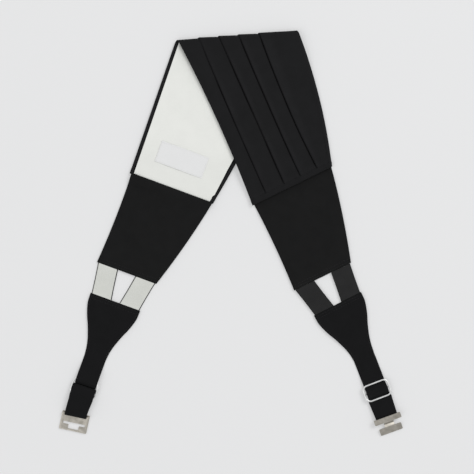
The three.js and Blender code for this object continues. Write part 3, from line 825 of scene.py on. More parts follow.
def placed_copies(name: str, template: bpy.types.Object, places: Sequence[Matrix]) -> bpy.types.Object:
    """One piece that holds a copy of a small shape at each place; the template is removed.

    Args:
        name: The piece's name.
        template: The small shape, modelled at the origin.
        places: Where each copy stands.

    Returns:
        The piece with all the copies.
    """
    mesh = template.data
    points = np.array([vertex.co for vertex in mesh.vertices])
    faces = [tuple(face.vertices) for face in mesh.polygons]
    count = len(points)
    spots, sides = [], []
    for index, place in enumerate(places):
        turn = np.array(place)
        spots.append(points @ turn[:3, :3].T + turn[:3, 3])
        sides.extend(tuple(v + index * count for v in face) for face in faces)
    whole = bpy.data.meshes.new(name)
    whole.from_pydata(np.vstack(spots).tolist(), [], sides)
    whole.uv_layers.new(name=CLOTH_UV)
    piece = bpy.data.objects.new(name, whole)
    bpy.context.scene.collection.objects.link(piece)
    bpy.data.objects.remove(template)
    shade(piece, 60)
    return piece


def dress(
    piece: bpy.types.Object,
    finish: Union[Cloth, Metal],
    nodes: Sequence[str] = (),
) -> bpy.types.Object:
    """Give a piece its finish and tie it to the frame.

    Args:
        piece: The piece.
        finish: What it is made of.
        nodes: The frame's nodes that it stands for.

    Returns:
        The same piece.
    """
    piece.data.materials.clear()
    piece.data.materials.append(finish_of(finish))
    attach(piece, "root")
    if nodes:
        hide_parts(*nodes)
    LOG.info("%s: %d faces", piece.name, len(piece.data.polygons))
    return piece


# ---- the pleated front ----


@dataclass(frozen=True)
class Station:
    """A point of the front's cross-section: in which pleat, how far across it, moved by how much, how high.

    Soft tells how freely it swells. Shadow is painted shade, up to 1 deep in a crease, and below 0 a painted
    highlight.
    """

    pleat: int
    share: float
    offset: float
    height: float
    soft: float = 0.0
    shadow: float = 0.0


@dataclass
class PleatedFront:
    """The pleated face cloth, whole round the fold, with a binding over its pleats' ends on each arm."""

    thickness: float = 0.5
    binding_thickness: float = 0.5
    binding_lift: float = 0.05
    row_spacing: float = 2.6
    crown: float = 2.03
    pleat_end: float = 0.36
    underlap: float = 6.4
    turned_reach: float = 6.2
    fold_steps: int = 15
    low_pleat: float = 0.95
    under_nose: tuple[float, ...] = (0.9, 0.92, 0.935, 0.95, 0.965, 0.98, 1.0)
    fold_ease: float = 12.0
    pressed_straight: float = 0.95
    pressed_bowed: float = 1.35
    rumple: float = 0.3
    hem_rows: tuple[float, ...] = (0.6, 1.6, 2.8, 4.0, 5.2, 6.4, 7.6, 8.8, 10.0)

    def edge_profile(self, pleat: int, share: float, inwards: float) -> list[Station]:
        """The cloth turned to the back at a long edge, from the back round to the face.

        Args:
            pleat: The pleat at that edge.
            share: 0 at the straight edge and 1 at the bowed one.
            inwards: 1 where the cloth lies at rising offsets from the edge, and -1 where it lies at falling ones.

        Returns:
            The stations from the turned edge's raw end to the face.
        """
        # Each row: offset, height, painted light; above 0 painted shade at the turn and beside the lining's edge,
        # below 0 painted highlight between them and on the face's rim.
        path = [
            (self.turned_reach, -0.7, 0.8),
            (4.2, -0.7, 0.8),
            (3.6, -0.7, 0.6),
            (2.9, -0.7, -0.2),
            (2.2, -0.7, -0.3),
            (1.5, -0.7, -0.2),
            (0.95, -0.64, 0.1),
            (0.58, -0.45, 0.5),
            (0.34, -0.12, 0.7),
            (0.27, 0.25, 0.7),
            (0.4, 0.62, 0.5),
            (0.75, 0.9, 0.2),
            (1.3, 1.12, -0.1),
            (2.0, 1.3, -0.1),
            (2.9, 1.48, 0.0),
            (3.8, 1.62, 0.0),
        ]
        return [Station(pleat, share, inwards * offset, height, 0.0, shadow) for offset, height, shadow in path]

    def pleat_top(self, share: float) -> float:
        """Height of a pleat's upper side, from its folded edge to where it goes under the next one."""
        falling = self.crown - 0.95 * share
        return float(mix(falling, self.pleat_end, smooth((share - 0.88) / 0.12)))

    def tuck(self, pleat: int) -> list[Station]:
        """The cloth that goes under a pleat's folded edge, turns back and comes up round that edge."""
        reach = self.underlap
        # Each row: offset, height, painted light; painted shade in the crease under the folded edge, fading round the
        # edge to a painted highlight on its crown.
        path = [
            (0.8, 0.29, 1.0),
            (2.2, 0.27, 1.0),
            (4.2, 0.27, 1.0),
            (reach - 0.4, 0.28, 1.0),
            (reach + 0.1, 0.4, 1.0),
            (reach + 0.22, 0.6, 1.0),
            (reach + 0.1, 0.8, 1.0),
            (reach - 0.4, 0.92, 1.0),
            (4.0, 0.93, 1.0),
            (2.0, 0.93, 1.0),
            (0.8, 0.95, 1.0),
            (0.3, 1.02, 1.0),
            (0.06, 1.2, 1.0),
            (0.0, 1.42, 0.9),
            (0.07, 1.65, 0.6),
            (0.32, 1.86, 0.15),
            (0.8, 1.98, -0.25),
            (1.5, 2.03, -0.3),
        ]
        return [Station(pleat, 0.0, offset, height, 0.0, shadow) for offset, height, shadow in path]

    def stations(self) -> list[Station]:
        """The whole cross-section, from edge to edge."""
        pleats = len(GARMENT.lines) - 1
        profile = self.edge_profile(0, 0.0, 1.0)
        for pleat in range(pleats):
            if pleat > 0:
                profile += self.tuck(pleat)
            start = 0.28 if pleat == 0 else 0.12
            if pleat < pleats - 1:
                shares = np.concatenate([np.linspace(start, 0.86, 9), self.under_nose])
            else:
                shares = np.linspace(start, 0.84, 15)
            for share in shares:
                height = self.crown - 0.75 * share if pleat == pleats - 1 else self.pleat_top(share)
                if pleat == 0:
                    height = float(mix(1.62, height, smooth((share - 0.2) / 0.25)))
                # Painted highlight on each pleat's folded edge near where it starts, painted shade in the crevice
                # where it goes under the next pleat.
                wear_and_lighter_tone = 0.3 * smooth((0.34 - share) / 0.22) if pleat > 0 else 0.0
                sunk = smooth((share - 0.9) / 0.05) if pleat < pleats - 1 else 0.0
                profile.append(Station(pleat, float(share), 0.0, height, 1.0, float(sunk - wear_and_lighter_tone)))
        return profile + self.edge_profile(pleats - 1, 1.0, -1.0)[::-1]

    def beyond_lower_arm(self, plan: Array) -> Array:
        """How far points lie beyond the lower arm's bowed edge."""
        edge = GARMENT.lines[-1]
        start = LEFT_ARM.fold_point(edge)
        along = LEFT_ARM.seam_point(edge) - start
        along /= np.linalg.norm(along)
        gap = plan - start
        return -(gap[..., 0] * along[1] - gap[..., 1] * along[0])

    def back_level(self, plan: Array) -> Array:
        """Level of the cloth's back in the right arm: over the left arm, then draped to the floor."""
        drape = smooth((self.beyond_lower_arm(plan) - GARMENT.drape_shelf) / GARMENT.drape_run)
        from_seam = (plan - RIGHT_ARM.corner()) @ tilted(RIGHT_ARM.seam_tilt + 90)
        near = smooth((GARMENT.lap + GARMENT.lap_margin + GARMENT.ramp - from_seam) / GARMENT.ramp)
        return mix(GARMENT.upper_level, GARMENT.stack + GARMENT.tongue_raise * near, drape)

    def line_rows(self, arm: Arm) -> tuple[Array, Array]:
        """Where the pleat lines stand in each row of an arm, from the fold to the seam.

        Args:
            arm: The arm.

        Returns:
            The points, for each row and line, and each row's distance from the seam.
        """
        hem = self.hem_rows[-1]
        count = int((arm.edge_length - hem) / self.row_spacing)
        shares = np.linspace(0, 1, count + 1)[1:]
        columns = []
        for line in GARMENT.lines:
            length = arm.line_length(line)
            far = shares * (1 - hem / length)
            near = 1 - np.array(self.hem_rows[-2::-1]) / length
            columns.append(arm.line_point(line, np.concatenate([far, near])))
        from_seam = np.concatenate([hem + (1 - shares) * (arm.edge_length - hem), self.hem_rows[-2::-1]])
        return np.stack(columns, axis=1), from_seam

    def pressed_heights(self, profile: Sequence[Station]) -> Array:
        """Heights of the cross-section at the fold, where the cloth near both edges is pressed flat."""
        last = len(GARMENT.lines) - 2
        heights = []
        for station in profile:
            height = station.height
            if height > 0.2 and station.pleat == 0 and not (station.share == 0.0 and station.soft):
                height = self.pressed_straight * math.sqrt(min(1.0, height / 0.3))
            elif height > 0.2 and station.pleat == last and station.share == 1.0:
                height = self.pressed_bowed * math.sqrt(min(1.0, height / 0.3))
            elif station.pleat == last and station.share > 0.5:
                height = min(height, float(mix(height, self.pressed_bowed, smooth((station.share - 0.5) / 0.3))))
            heights.append(height)
        return np.array(heights)

    def depths(self, along: Array, profile: Sequence[Station]) -> Array:
        """How deep the nearest pleat stands at each station, from 0 to 1.

        Args:
            along: Each row's share of the way from the fold to the seam.
            profile: The cross-section.

        Returns:
            One row for each share and one column for each station.
        """
        lines = np.stack([line.depth_at(along) for line in GARMENT.lines], axis=-1)
        pleat = np.array([station.pleat for station in profile])
        share = np.array([station.share for station in profile])
        return mix(lines[:, pleat], lines[:, pleat + 1], smooth((share - 0.3) / 0.4))

    def shadows(self, profile: Sequence[Station]) -> Array:
        """Painted shade for each point of the whole cloth, in the creases and along the fold's outer edge, with
        painted highlights on the pleats' folded edges; lighter towards the seams.
        """
        shadow = np.array([station.shadow for station in profile])
        inner = np.array([0 < station.pleat + station.share < len(GARMENT.lines) - 1 for station in profile])
        rows = []
        for arm in (LEFT_ARM, RIGHT_ARM):
            from_seam = self.line_rows(arm)[1]
            along = 1 - from_seam / arm.edge_length
            fading = np.where(inner, smooth((from_seam - 4.5) / 8.0)[:, None], 1.0)
            # Lighter on the pleats towards the seam.
            wear_and_lighter_tone = 0.2 * smooth((13.0 - from_seam) / 8.0)[:, None]
            rows.append(shadow * self.depths(along, profile) * fading - wear_and_lighter_tone * inner)
        left, right = rows
        # Painted shade along the fold's outer edge, where the cloth turns away from above.
        turn = smooth((52 - np.abs(np.linspace(-90, 90, self.fold_steps))) / 24)[:, None]
        fold = mix(shadow * self.depths(np.zeros(1), profile), 0.75, turn)
        return np.concatenate([left[::-1], fold, right])

    def spread(self, lines: Array, profile: Sequence[Station]) -> Array:
        """Plan of each station in each row, from where the pleat lines stand."""
        pleat = np.array([station.pleat for station in profile])
        share = np.array([station.share for station in profile])[None, :, None]
        offset = np.array([station.offset for station in profile])[None, :, None]
        start, end = lines[:, pleat], lines[:, pleat + 1]
        across = (end - start) / np.linalg.norm(end - start, axis=-1, keepdims=True)
        return mix(start, end, share) + across * offset

    def arm_points(self, arm: Arm, profile: Sequence[Station]) -> Array:
        """Points of the cloth in one arm, from the fold to the seam."""
        lines, from_seam = self.line_rows(arm)
        plan = self.spread(lines, profile)
        height = np.array([station.height for station in profile])[None, :]
        from_fold = (arm.edge_length - from_seam)[:, None]
        height = mix(self.pressed_heights(profile)[None, :], height, smooth(from_fold / self.fold_ease))
        soft = np.array([station.soft for station in profile])[None, :]
        flat = smooth((from_seam - 4.0) / 5.0)[:, None]
        along = 1 - from_seam / arm.edge_length
        low = self.low_pleat
        raised = np.clip(height - low, 0, None) * mix(0.55, 1.0, self.depths(along, profile))
        height = np.where(height > low, low + raised, height)
        height = np.where(height > 0, height * mix(0.76, 1.0, flat), height)
        swell = 0.5 + 0.5 * ripple(plan[..., 0], plan[..., 1], 34.0, 5)
        height = height - self.rumple * soft * flat * np.clip(swell, 0, 1)
        level = self.back_level(plan) + height if arm.facing is Facing.UP else GARMENT.lower_level - height
        return np.concatenate([plan, np.broadcast_to(level[..., None], plan.shape[:2] + (1,))], axis=-1)

    def fold_points(self, profile: Sequence[Station]) -> Array:
        """Points of the cloth round the fold, from the left arm to the right arm."""
        angles = np.linspace(-90, 90, self.fold_steps)
        share = ((angles + 90) / 180)[:, None, None]
        starts = np.stack([LEFT_ARM.fold_point(line) for line in GARMENT.lines])
        ends = np.stack([RIGHT_ARM.fold_point(line) for line in GARMENT.lines])
        plan = self.spread(mix(starts[None], ends[None], share), profile)
        height = self.pressed_heights(profile)[None, :]
        radius = GARMENT.fold_radius + height
        turn = np.radians(angles)[:, None]
        plan = plan + (radius * np.cos(turn))[..., None] * tilted(GARMENT.fold_tilt + 90)
        level = GARMENT.lower_level + GARMENT.fold_radius + radius * np.sin(turn)
        return np.concatenate([plan, level[..., None]], axis=-1)

    def cloth_points(self, profile: Sequence[Station]) -> Array:
        """Points of the whole cloth, from the left seam round the fold to the right seam."""
        left = self.arm_points(LEFT_ARM, profile)[::-1]
        right = self.arm_points(RIGHT_ARM, profile)
        return in_place(np.concatenate([left, self.fold_points(profile), right]))

    def binding(self, arm: Arm) -> bpy.types.Object:
        """The flat strip sewn over the pleats' ends at the seam, turned round to the back.

        Args:
            arm: The arm.

        Returns:
            The strip.
        """
        path = curve_through(
            np.array([[5.7, 1.72], [5.4, 2.02], [4.4, 2.08], [2.6, 2.08], [1.1, 2.0], [0.35, 1.65], [0.2, 1.0], [0.25, 0.3]]), 3
        )
        shares = np.concatenate([[0.0, 0.004, 0.012, 0.025, 0.045], np.linspace(0.08, 0.92, 40), [0.955, 0.975, 0.988, 0.996, 1.0]])
        drop = 1.75 * np.clip(1 - np.minimum(shares, 1 - shares) / 0.03, 0, 1) ** 2
        seam = np.array([[line.seam, arm.line_length(line)] for line in GARMENT.lines])
        rows = []
        for distance, height in path:
            sections = np.stack(
                [arm.line_point(line, np.array(1 - distance / length)) for line, (_, length) in zip(GARMENT.lines, seam)]
            )
            plan = np.stack([np.interp(shares, seam[:, 0], sections[:, axis]) for axis in (0, 1)], axis=-1)
            raised = np.maximum(height - drop, np.minimum(height, 0.3))
            level = self.back_level(plan) + raised if arm.facing is Facing.UP else GARMENT.lower_level - raised
            rows.append(np.concatenate([plan, level[:, None]], axis=-1))
        lowest = 0.5 * self.binding_thickness + self.binding_lift
        points = np.maximum(in_place(np.array(rows)), (-np.inf, -np.inf, lowest))
        piece = sheet_piece(f"hem_binding_{arm.name}", points)
        apply_modifier(piece, "SOLIDIFY", {"thickness": self.binding_thickness * MM, "offset": 0.0})
        clean_shell(piece, close=False)
        shade(piece, 50)
        dress(piece, PLEAT_TWILL)
        return piece

    def build(self) -> None:
        """Build the pleated cloth and its two bindings."""
        profile = self.stations()
        points = self.cloth_points(profile)
        piece = sheet_piece("pleated_cloth", points, shadowed=self.shadows(profile))
        apply_modifier(piece, "SOLIDIFY", {"thickness": self.thickness * MM, "offset": 0.0})
        clean_shell(piece, close=False)
        shade(piece, 60)
        dress(piece, PLEAT_TWILL, ["pleated_front"])
        bindings = [self.binding(arm) for arm in (LEFT_ARM, RIGHT_ARM)]


@dataclass
class Lining:
    """The white lining inside the turned edges, whole round the fold."""

    front: PleatedFront
    thickness: float = 0.32
    inset_straight: float = 4.6
    inset_bowed: float = 4.9
    level: float = -1.13
    pucker: float = 0.1
    fold_shadow: float = 0.3
    darker_near_seam: float = 0.035

    def stations(self) -> list[Station]:
        """The lining's cross-section, from edge to edge."""
        last = len(GARMENT.lines) - 2
        edge = [(0.0, self.level + 0.1), (0.25, self.level), (1.2, self.level)]
        profile = [Station(0, 0.0, self.inset_straight + offset, height) for offset, height in edge]
        for pleat in range(last + 1):
            start = 0.3 if pleat == 0 else 0.0
            stop = 0.8 if pleat == last else 0.94
            for share in np.linspace(start, stop, 9):
                profile.append(Station(pleat, float(share), 0.0, self.level, 1.0))
        return profile + [Station(last, 1.0, -self.inset_bowed - offset, height) for offset, height in edge[::-1]]

    def shadows(self, flat: PleatedFront, profile: Sequence[Station]) -> Array:
        """Painted shade for each point: a painted shadow beside the arm that lies over it and round the fold, and a
        little darker near the seams.
        """
        rows = {}
        for arm in (LEFT_ARM, RIGHT_ARM):
            lines, from_seam = flat.line_rows(arm)
            plan = flat.spread(lines, profile)
            start = RIGHT_ARM.fold_point(GARMENT.lines[0])
            gap = plan - start
            along = heading(RIGHT_ARM.edge_bearing)
            beside = gap[..., 1] * along[0] - gap[..., 0] * along[1]
            down = gap @ along
            # Painted shadow on the lining beside the right arm's edge, fading away from the fold; a little darker
            # towards the seams.
            under = self.fold_shadow * np.exp(-np.clip(-beside, 0, None) / 4.0) * smooth(1 - down / 75.0)
            rows[arm.name] = under + self.darker_near_seam * smooth((50 - from_seam) / 16)[:, None]
        # Painted shade on the lining round the fold.
        fold = np.full((flat.fold_steps, len(profile)), 0.3)
        return np.concatenate([rows["left"][::-1], fold, rows["right"]])

    def build(self) -> None:
        """Build the lining."""
        profile = self.stations()
        flat = PleatedFront(rumple=0.0, row_spacing=2.2)
        points = flat.cloth_points(profile)
        soft = np.array([station.soft for station in profile])[None, :]
        swell = 0.5 + 0.5 * ripple(points[..., 0], points[..., 1], 26.0, 11)
        rows = np.linspace(0, 1, len(points))[:, None] * 346
        near_edge = np.exp(-np.minimum(np.arange(len(profile)), len(profile) - 1 - np.arange(len(profile))) / 2.5)
        crimp = self.pucker * near_edge[None, :] * (0.5 + 0.5 * np.sin(rows * 2 * math.pi / 9.0))
        raise_by = 0.28 * soft * np.clip(swell, 0, 1) + crimp
        arms = len(flat.line_rows(LEFT_ARM)[1])
        points[:arms, :, 2] -= raise_by[:arms]
        points[-len(flat.line_rows(RIGHT_ARM)[1]) :, :, 2] += raise_by[-len(flat.line_rows(RIGHT_ARM)[1]) :]
        piece = sheet_piece("lining_cloth", points, shadowed=self.shadows(flat, profile))
        apply_modifier(piece, "SOLIDIFY", {"thickness": self.thickness * MM, "offset": 0.0})
        clean_shell(piece, close=False)
        shade(piece, 60)
        dress(piece, LINING_CLOTH, ["lining"])


# ---- flat pieces in an arm's own frame ----


@dataclass
class Label:
    """The bare label on the lining of the left arm, sewn round its border."""

    width: float = 55.0
    height: float = 24.0
    thickness: float = 0.34
    level: float = 3.66
    stitch_inset: float = 1.3

    def build(self) -> None:
        """Build the label and its stitches."""
        rows = rows_of(self.height, 1.5, 0.3)
        left = np.stack([np.full_like(rows, (GARMENT.seam_width - self.width) / 2), GARMENT.label_from_seam + rows], axis=-1)
        right = left + np.array([self.width, 0.0])
        columns = 30
        across = np.linspace(0, 1, columns)
        dome = np.sin(math.pi * rows / self.height)[:, None] * np.sin(math.pi * across)[None, :]
        swell = 0.12 * dome + 0.05 * ripple(left[:, :1] + across[None, :] * self.width, left[:, 1:2] + 0 * across, 12.0, 3)
        taper = end_taper(rows, self.height, 0.3)[:, None] * self.thickness / 2
        middle = self.level + self.thickness / 2 + np.maximum(swell, 0)
        rings = slab_rings(left, right, middle - taper, middle + taper, 0.25)
        piece = loft_piece("label_ribbon", in_place(LEFT_ARM.to_raw(rings)), columns // 2)
        dress(piece, LABEL_RIBBON, ["label"])
        in_place(LEFT_ARM.to_raw(rings[:, :columns]))
        inset = self.stitch_inset
        low, high = left[0] + inset, right[-1] - inset
        border = np.array([[low[0], low[1]], [high[0], low[1]], [high[0], high[1]], [low[0], high[1]], [low[0], low[1]]])
        path = np.column_stack([border, np.full(5, self.level + self.thickness + 0.03)])
        Stitching("label_stitches", WHITE_THREAD, "label_cloth", 1.5, 1.0, 0.12).sew([LEFT_ARM.to_raw(path)])


@dataclass
class Stitching:
    """Rows of short stitches, each a small rounded thread let into the cloth."""

    name: str
    thread: Cloth
    slot: str
    pitch: float = 3.0
    length: float = 2.3
    radius: float = 0.17

    def places(self, path: Array) -> list[Matrix]:
        """Where each stitch lies along a path.

        Args:
            path: Corners of the path in the shared plan, in millimetres.

        Returns:
            A place for each stitch.
        """
        steps = np.linalg.norm(np.diff(path, axis=0), axis=-1)
        total = np.concatenate([[0.0], np.cumsum(steps)])
        middles = np.arange(self.pitch / 2, total[-1] - self.pitch / 2, self.pitch)
        points = np.stack([np.interp(middles, total, path[:, axis]) for axis in range(3)], axis=-1)
        ahead = np.stack([np.interp(middles + 0.3, total, path[:, axis]) for axis in range(3)], axis=-1)
        places = []
        for point, tip in zip(in_place(points), in_place(ahead)):
            along = Vector(tip - point)
            turn = along.to_track_quat("X", "Z").to_matrix().to_4x4()
            places.append(Matrix.Translation(Vector(point) * MM) @ turn)
        return places

    def sew(self, paths: Sequence[Array]) -> None:
        """Build all the stitches along some paths as one piece."""
        deselect_all()
        bpy.ops.mesh.primitive_ico_sphere_add(subdivisions=1, radius=1.0)
        template = bpy.context.object
        template.data.transform(Matrix.Diagonal((self.length / 2 * MM, self.radius * MM, self.radius * MM, 1.0)))
        places = [place for path in paths for place in self.places(path)]
        piece = placed_copies(self.name, template, places)
        dress(piece, self.thread)


@dataclass
class SidePanel:
    """A plain panel of doubled cloth between the pleated front and the elastic bands."""

    arm: Arm
    thickness: float = 2.4
    tongue: float = 1.0
    inset_straight: float = 1.9
    inset_bowed: float = 0.5
    bow_straight: float = 1.4
    bow_bowed: float = 1.7
    columns: int = 40

    def edges(self, below: Array) -> tuple[Array, Array]:
        """Plan of both long edges at distances below the seam, in the arm's own frame."""
        along = (below + GARMENT.lap) / (GARMENT.panel_length + GARMENT.lap)
        bow = 4 * along * (1 - along)
        straight = mix(self.inset_straight, 0.0, along) + self.bow_straight * bow
        bowed = mix(GARMENT.seam_width - self.inset_bowed, GARMENT.panel_end_width, along) + self.bow_bowed * bow
        return np.stack([straight, -below], axis=-1), np.stack([bowed, -below], axis=-1)

    def levels(self, below: Array) -> tuple[Array, Array]:
        """Levels of the underside and the upper side at distances below the seam."""
        settle = smooth((below - 1) / 14)
        over_lining = GARMENT.lower_level + GARMENT.stack + 0.3
        base = np.zeros_like(below) if self.arm.facing is Facing.UP else over_lining * (1 - settle)
        return base, base + mix(self.tongue, self.thickness, smooth((below - 1) / GARMENT.ramp))

    def build(self) -> None:
        """Build the panel."""
        length = GARMENT.panel_length + GARMENT.lap
        below = rows_of(length, 2.2, 1.1) - GARMENT.lap
        left, right = self.edges(below)
        base, top = self.levels(below)
        taper = end_taper(below + GARMENT.lap, length, 1.1)
        half = (top - base) / 2 * taper
        across = np.linspace(0, 1, self.columns)[None, :]
        plan_x = mix(left[:, :1], right[:, :1], across)
        swell = 0.5 + 0.5 * ripple(plan_x, left[:, 1:2] + 0 * across, 40.0, 21 + self.arm.face)
        inside = smooth(np.minimum(across, 1 - across) / 0.12) * smooth(np.minimum(below + 3, 103 - below) / 12)[:, None]
        dip = 0.35 * np.clip(swell, 0, 1) * inside
        middle = ((top + base) / 2)[:, None]
        rings = slab_rings(left, right, middle - half[:, None] + 0 * dip, middle + half[:, None] - dip, 0.9)
        points = in_place(self.arm.to_raw(rings))
        node = f"side_panel_{self.arm.name}"
        piece = loft_piece(f"{node}_cloth", points, self.columns // 2)
        dress(piece, PANEL_TWILL, [node])


@dataclass
class ElasticBands:
    """The two elastic bands of an arm, each with its off-white backing tape."""

    arm: Arm
    width: float = 23.4
    backing_width: float = 21.6
    thickness: float = 1.0
    panel_inset: float = 1.3
    tab_inset: float = 1.0
    clearance: float = 0.06
    rib: float = 1.55
    rib_depth: float = 0.13

    def ribbon(self, name: str, side: int, width: float, level: float, finish: Cloth, node: str) -> None:
        """Build one band or one backing.

        Args:
            name: The piece's name.
            side: -1 on the straight edge's side and 1 on the bowed one's.
            width: Its width.
            level: Level of its underside.
            finish: What it is made of.
            node: The frame's node that it stands for.
        """
        end_width = GARMENT.panel_end_width
        centre = end_width / 2 + side * ((end_width - self.width) / 2 - self.panel_inset)
        start = np.array([centre, -GARMENT.panel_length - self.clearance])
        turn = float(self.arm.bearing(0.0))
        across, along = tilted(turn), heading(turn)
        offset = side * ((GARMENT.tab_width - self.width) / 2 - self.tab_inset)
        end = self.arm.spine(np.array(0.0)) + across * offset - along * self.clearance
        length = float(np.linalg.norm(end - start))
        rows = rows_of(length, 0.9, 0.3)
        share = (rows / length)[:, None]
        middle = mix(start, end, share)
        sideways = mix(np.array([1.0, 0.0]), across, smooth(share))
        narrow = width / 2 * (1 - 0.018 * np.sin(math.pi * share))
        left, right = middle - sideways * narrow, middle + sideways * narrow
        columns = 92
        place = np.linspace(-width / 2, width / 2, columns)[None, :]
        ribs = self.rib_depth * (0.5 + 0.5 * np.cos(place * 2 * math.pi / self.rib))
        gather = 0.09 * (0.5 + 0.5 * np.sin(rows[:, None] * 2 * math.pi / 2.3 + 0.25 * place))
        taper = end_taper(rows, length, 0.3)[:, None]
        top = level + self.thickness - ribs - gather + 0 * share
        low = level + 0 * top
        centre_level, half = (top + low) / 2, (top - low) / 2 * taper
        rings = slab_rings(left, right, centre_level - half, centre_level + half, 0.45)
        points = in_place(self.arm.to_raw(rings))
        piece = loft_piece(name, points, columns // 2)
        dress(piece, finish, [node])

    def build(self) -> None:
        """Build both bands and both backings."""
        upper = self.thickness + 0.3
        band_level, tape_level = (upper, 0.0) if self.arm.facing is Facing.UP else (0.0, upper)
        for side, edge in ((-1, "a"), (1, "b")):
            node = f"band_{self.arm.name}_{edge}"
            self.ribbon(f"{node}_elastic", side, self.width, band_level, BAND_ELASTIC, node)
            self.ribbon(
                f"{node}_tape", side, self.backing_width, tape_level, BACKING_TAPE, f"{node}_backing"
            )


# ---- straps ----


@dataclass
class BackStrap:
    """The tapered tab that runs on as the strap, through the slide, round the rail and back to the slide."""

    arm: Arm
    tab_thickness: float = 2.4
    thickness: float = 1.1
    doubled_width: float = 25.4
    doubled_start: float = 26.4
    doubled_end: float = 24.4
    bar_spacing: float = 8.8
    wire_radius: float = 0.8
    rail_radius: float = 0.6
    plate_thickness: float = 1.2
    clearance: float = 0.3
    past_slide: float = 1.5
    before_rail: float = 4.0
    loop_start: float = 1.0
    sections: tuple[tuple[float, float], ...] = (
        (0.0, 1.0),
        (0.06, 1.0),
        (0.18, 0.96),
        (0.36, 0.74),
        (0.5, 0.5),
        (0.62, 0.32),
        (0.74, 0.165),
        (0.86, 0.06),
        (1.0, 0.0),
    )

    @property
    def bar_to_strap(self) -> float:
        """From a slide bar's axis to the middle of the strap that lies on it."""
        return self.wire_radius + self.clearance + self.thickness / 2

    @property
    def layer_step(self) -> float:
        """From the middle of one strap layer to the middle of the next."""
        return self.thickness + self.clearance

    @property
    def slide_level(self) -> float:
        """Level of the slide's wire."""
        return self.bar_to_strap + self.layer_step + self.thickness / 2

    @property
    def rail_to_strap(self) -> float:
        """From the clasp rail's axis to the middle of the strap round it."""
        return self.rail_radius + self.clearance + self.thickness / 2

    @property
    def rail_to_plate(self) -> float:
        """From the clasp rail's axis to the back of the clasp's plate."""
        return self.rail_to_strap + self.thickness / 2 + self.clearance

    @property
    def rail_level(self) -> float:
        """Level of the clasp's rail."""
        if self.arm.facing is Facing.UP:
            return self.rail_to_strap + self.thickness / 2
        return self.rail_to_plate + self.plate_thickness

    def tab_stations(self) -> list[tuple[float, float, float, float]]:
        """Distance, level, width and thickness down the tab."""
        stations = []
        for along, spread in self.sections:
            thickness = float(mix(self.tab_thickness, self.thickness, smooth((along - 0.5) / 0.5)))
            width = mix(GARMENT.strap_width, GARMENT.tab_width, spread)
            stations.append((along * GARMENT.tab_length, thickness / 2, width, thickness))
        return stations

    def strap_stations(self) -> list[tuple[float, float, float, float]]:
        """Distance, level, width and thickness from the tab to the strap's end on the slide's middle bar."""
        face, width, thick = self.arm.face, GARMENT.strap_width, self.thickness
        slide_at, rail_at = self.arm.slide_at, self.arm.rail_at
        behind = self.slide_level - face * self.bar_to_strap
        hump_reach = self.bar_spacing - self.loop_start
        rise_end = slide_at - self.bar_spacing - self.past_slide
        rise_start = mix(GARMENT.tab_length, rise_end, 0.4 if face > 0 else 0.1)
        stations = []
        for share in (0.25, 0.5, 0.75, 1.0):
            level = mix(thick / 2, behind, smooth(share))
            stations.append((mix(rise_start, rise_end, share), float(level), width, thick))
        rise = face * (2 * self.bar_to_strap + self.layer_step)
        for step in range(-5, 6):
            bump = math.cos(step / 5 * math.pi / 2) ** 2
            stations.append((slide_at + step / 5 * hump_reach, behind + rise * bump, width, thick))
        doubled_from = slide_at + self.bar_spacing + self.past_slide
        doubled_to = rail_at - self.before_rail
        widened = mix(doubled_from, doubled_to, 0.3)
        layer = face * self.layer_step
        face_side = self.rail_level + face * self.rail_to_strap
        back_side = self.rail_level - face * self.rail_to_strap
        start, wide = self.doubled_start, self.doubled_end
        stations.append((doubled_from, behind, start, thick))
        stations.append((widened, float(mix(behind, face_side, 0.25)), mix(start, wide, 0.4), thick))
        stations.append((doubled_to, face_side, wide, thick))
        for angle in np.radians(np.arange(90, -91, -30)):
            level = self.rail_level + face * self.rail_to_strap * math.sin(angle)
            stations.append((rail_at + self.rail_to_strap * math.cos(angle), level, wide, thick))
        stations.append((doubled_to, back_side, wide, thick))
        stations.append((widened, float(mix(behind - layer, back_side, 0.25)), mix(start, wide, 0.4), thick))
        ending = width if self.arm.facing is Facing.UP else start
        stations.append((doubled_from, behind - layer, ending, thick))
        for share in (0.0, 0.33, 0.67):
            distance = mix(slide_at + hump_reach, slide_at + self.loop_start, share)
            stations.append((distance, float(mix(behind - layer, behind, smooth(share))), ending, thick))
        for angle in np.radians(np.arange(-90, -331, -30)):
            level = self.slide_level + face * self.bar_to_strap * math.sin(angle)
            stations.append((slide_at + self.bar_to_strap * math.cos(angle), level, ending, thick))
        return stations

    def rings(self, stations: Array, columns: int) -> Array:
        """Rings round the strap at its stations, in the arm's own frame."""
        distance, level, width, thickness = stations.T
        run, rise = np.gradient(distance), np.gradient(level)
        size = np.hypot(run, rise)
        run, rise = run / size, rise / size
        bearing = self.arm.bearing(distance)
        across, along = tilted(bearing), heading(bearing)
        middle = self.arm.spine(distance)
        edge = 0.45
        half_width = width / 2 - edge
        turn = np.radians(ROUNDING)
        sideways = np.concatenate(
            [
                np.linspace(-1, 1, columns)[None, :] * half_width[:, None],
                half_width[:, None] + edge * np.cos(turn),
                np.linspace(1, -1, columns)[None, :] * half_width[:, None],
                -half_width[:, None] - edge * np.cos(turn[::-1]),
            ],
            axis=1,
        )
        normal_share = np.concatenate([np.ones(columns), np.sin(turn), -np.ones(columns), np.sin(turn[::-1])])
        lift = thickness[:, None] / 2 * normal_share[None, :]
        plan = middle[:, None] + sideways[..., None] * across[:, None] - (rise[:, None] * lift)[..., None] * along[:, None]
        return np.concatenate([plan, (level[:, None] + run[:, None] * lift)[..., None]], axis=-1)

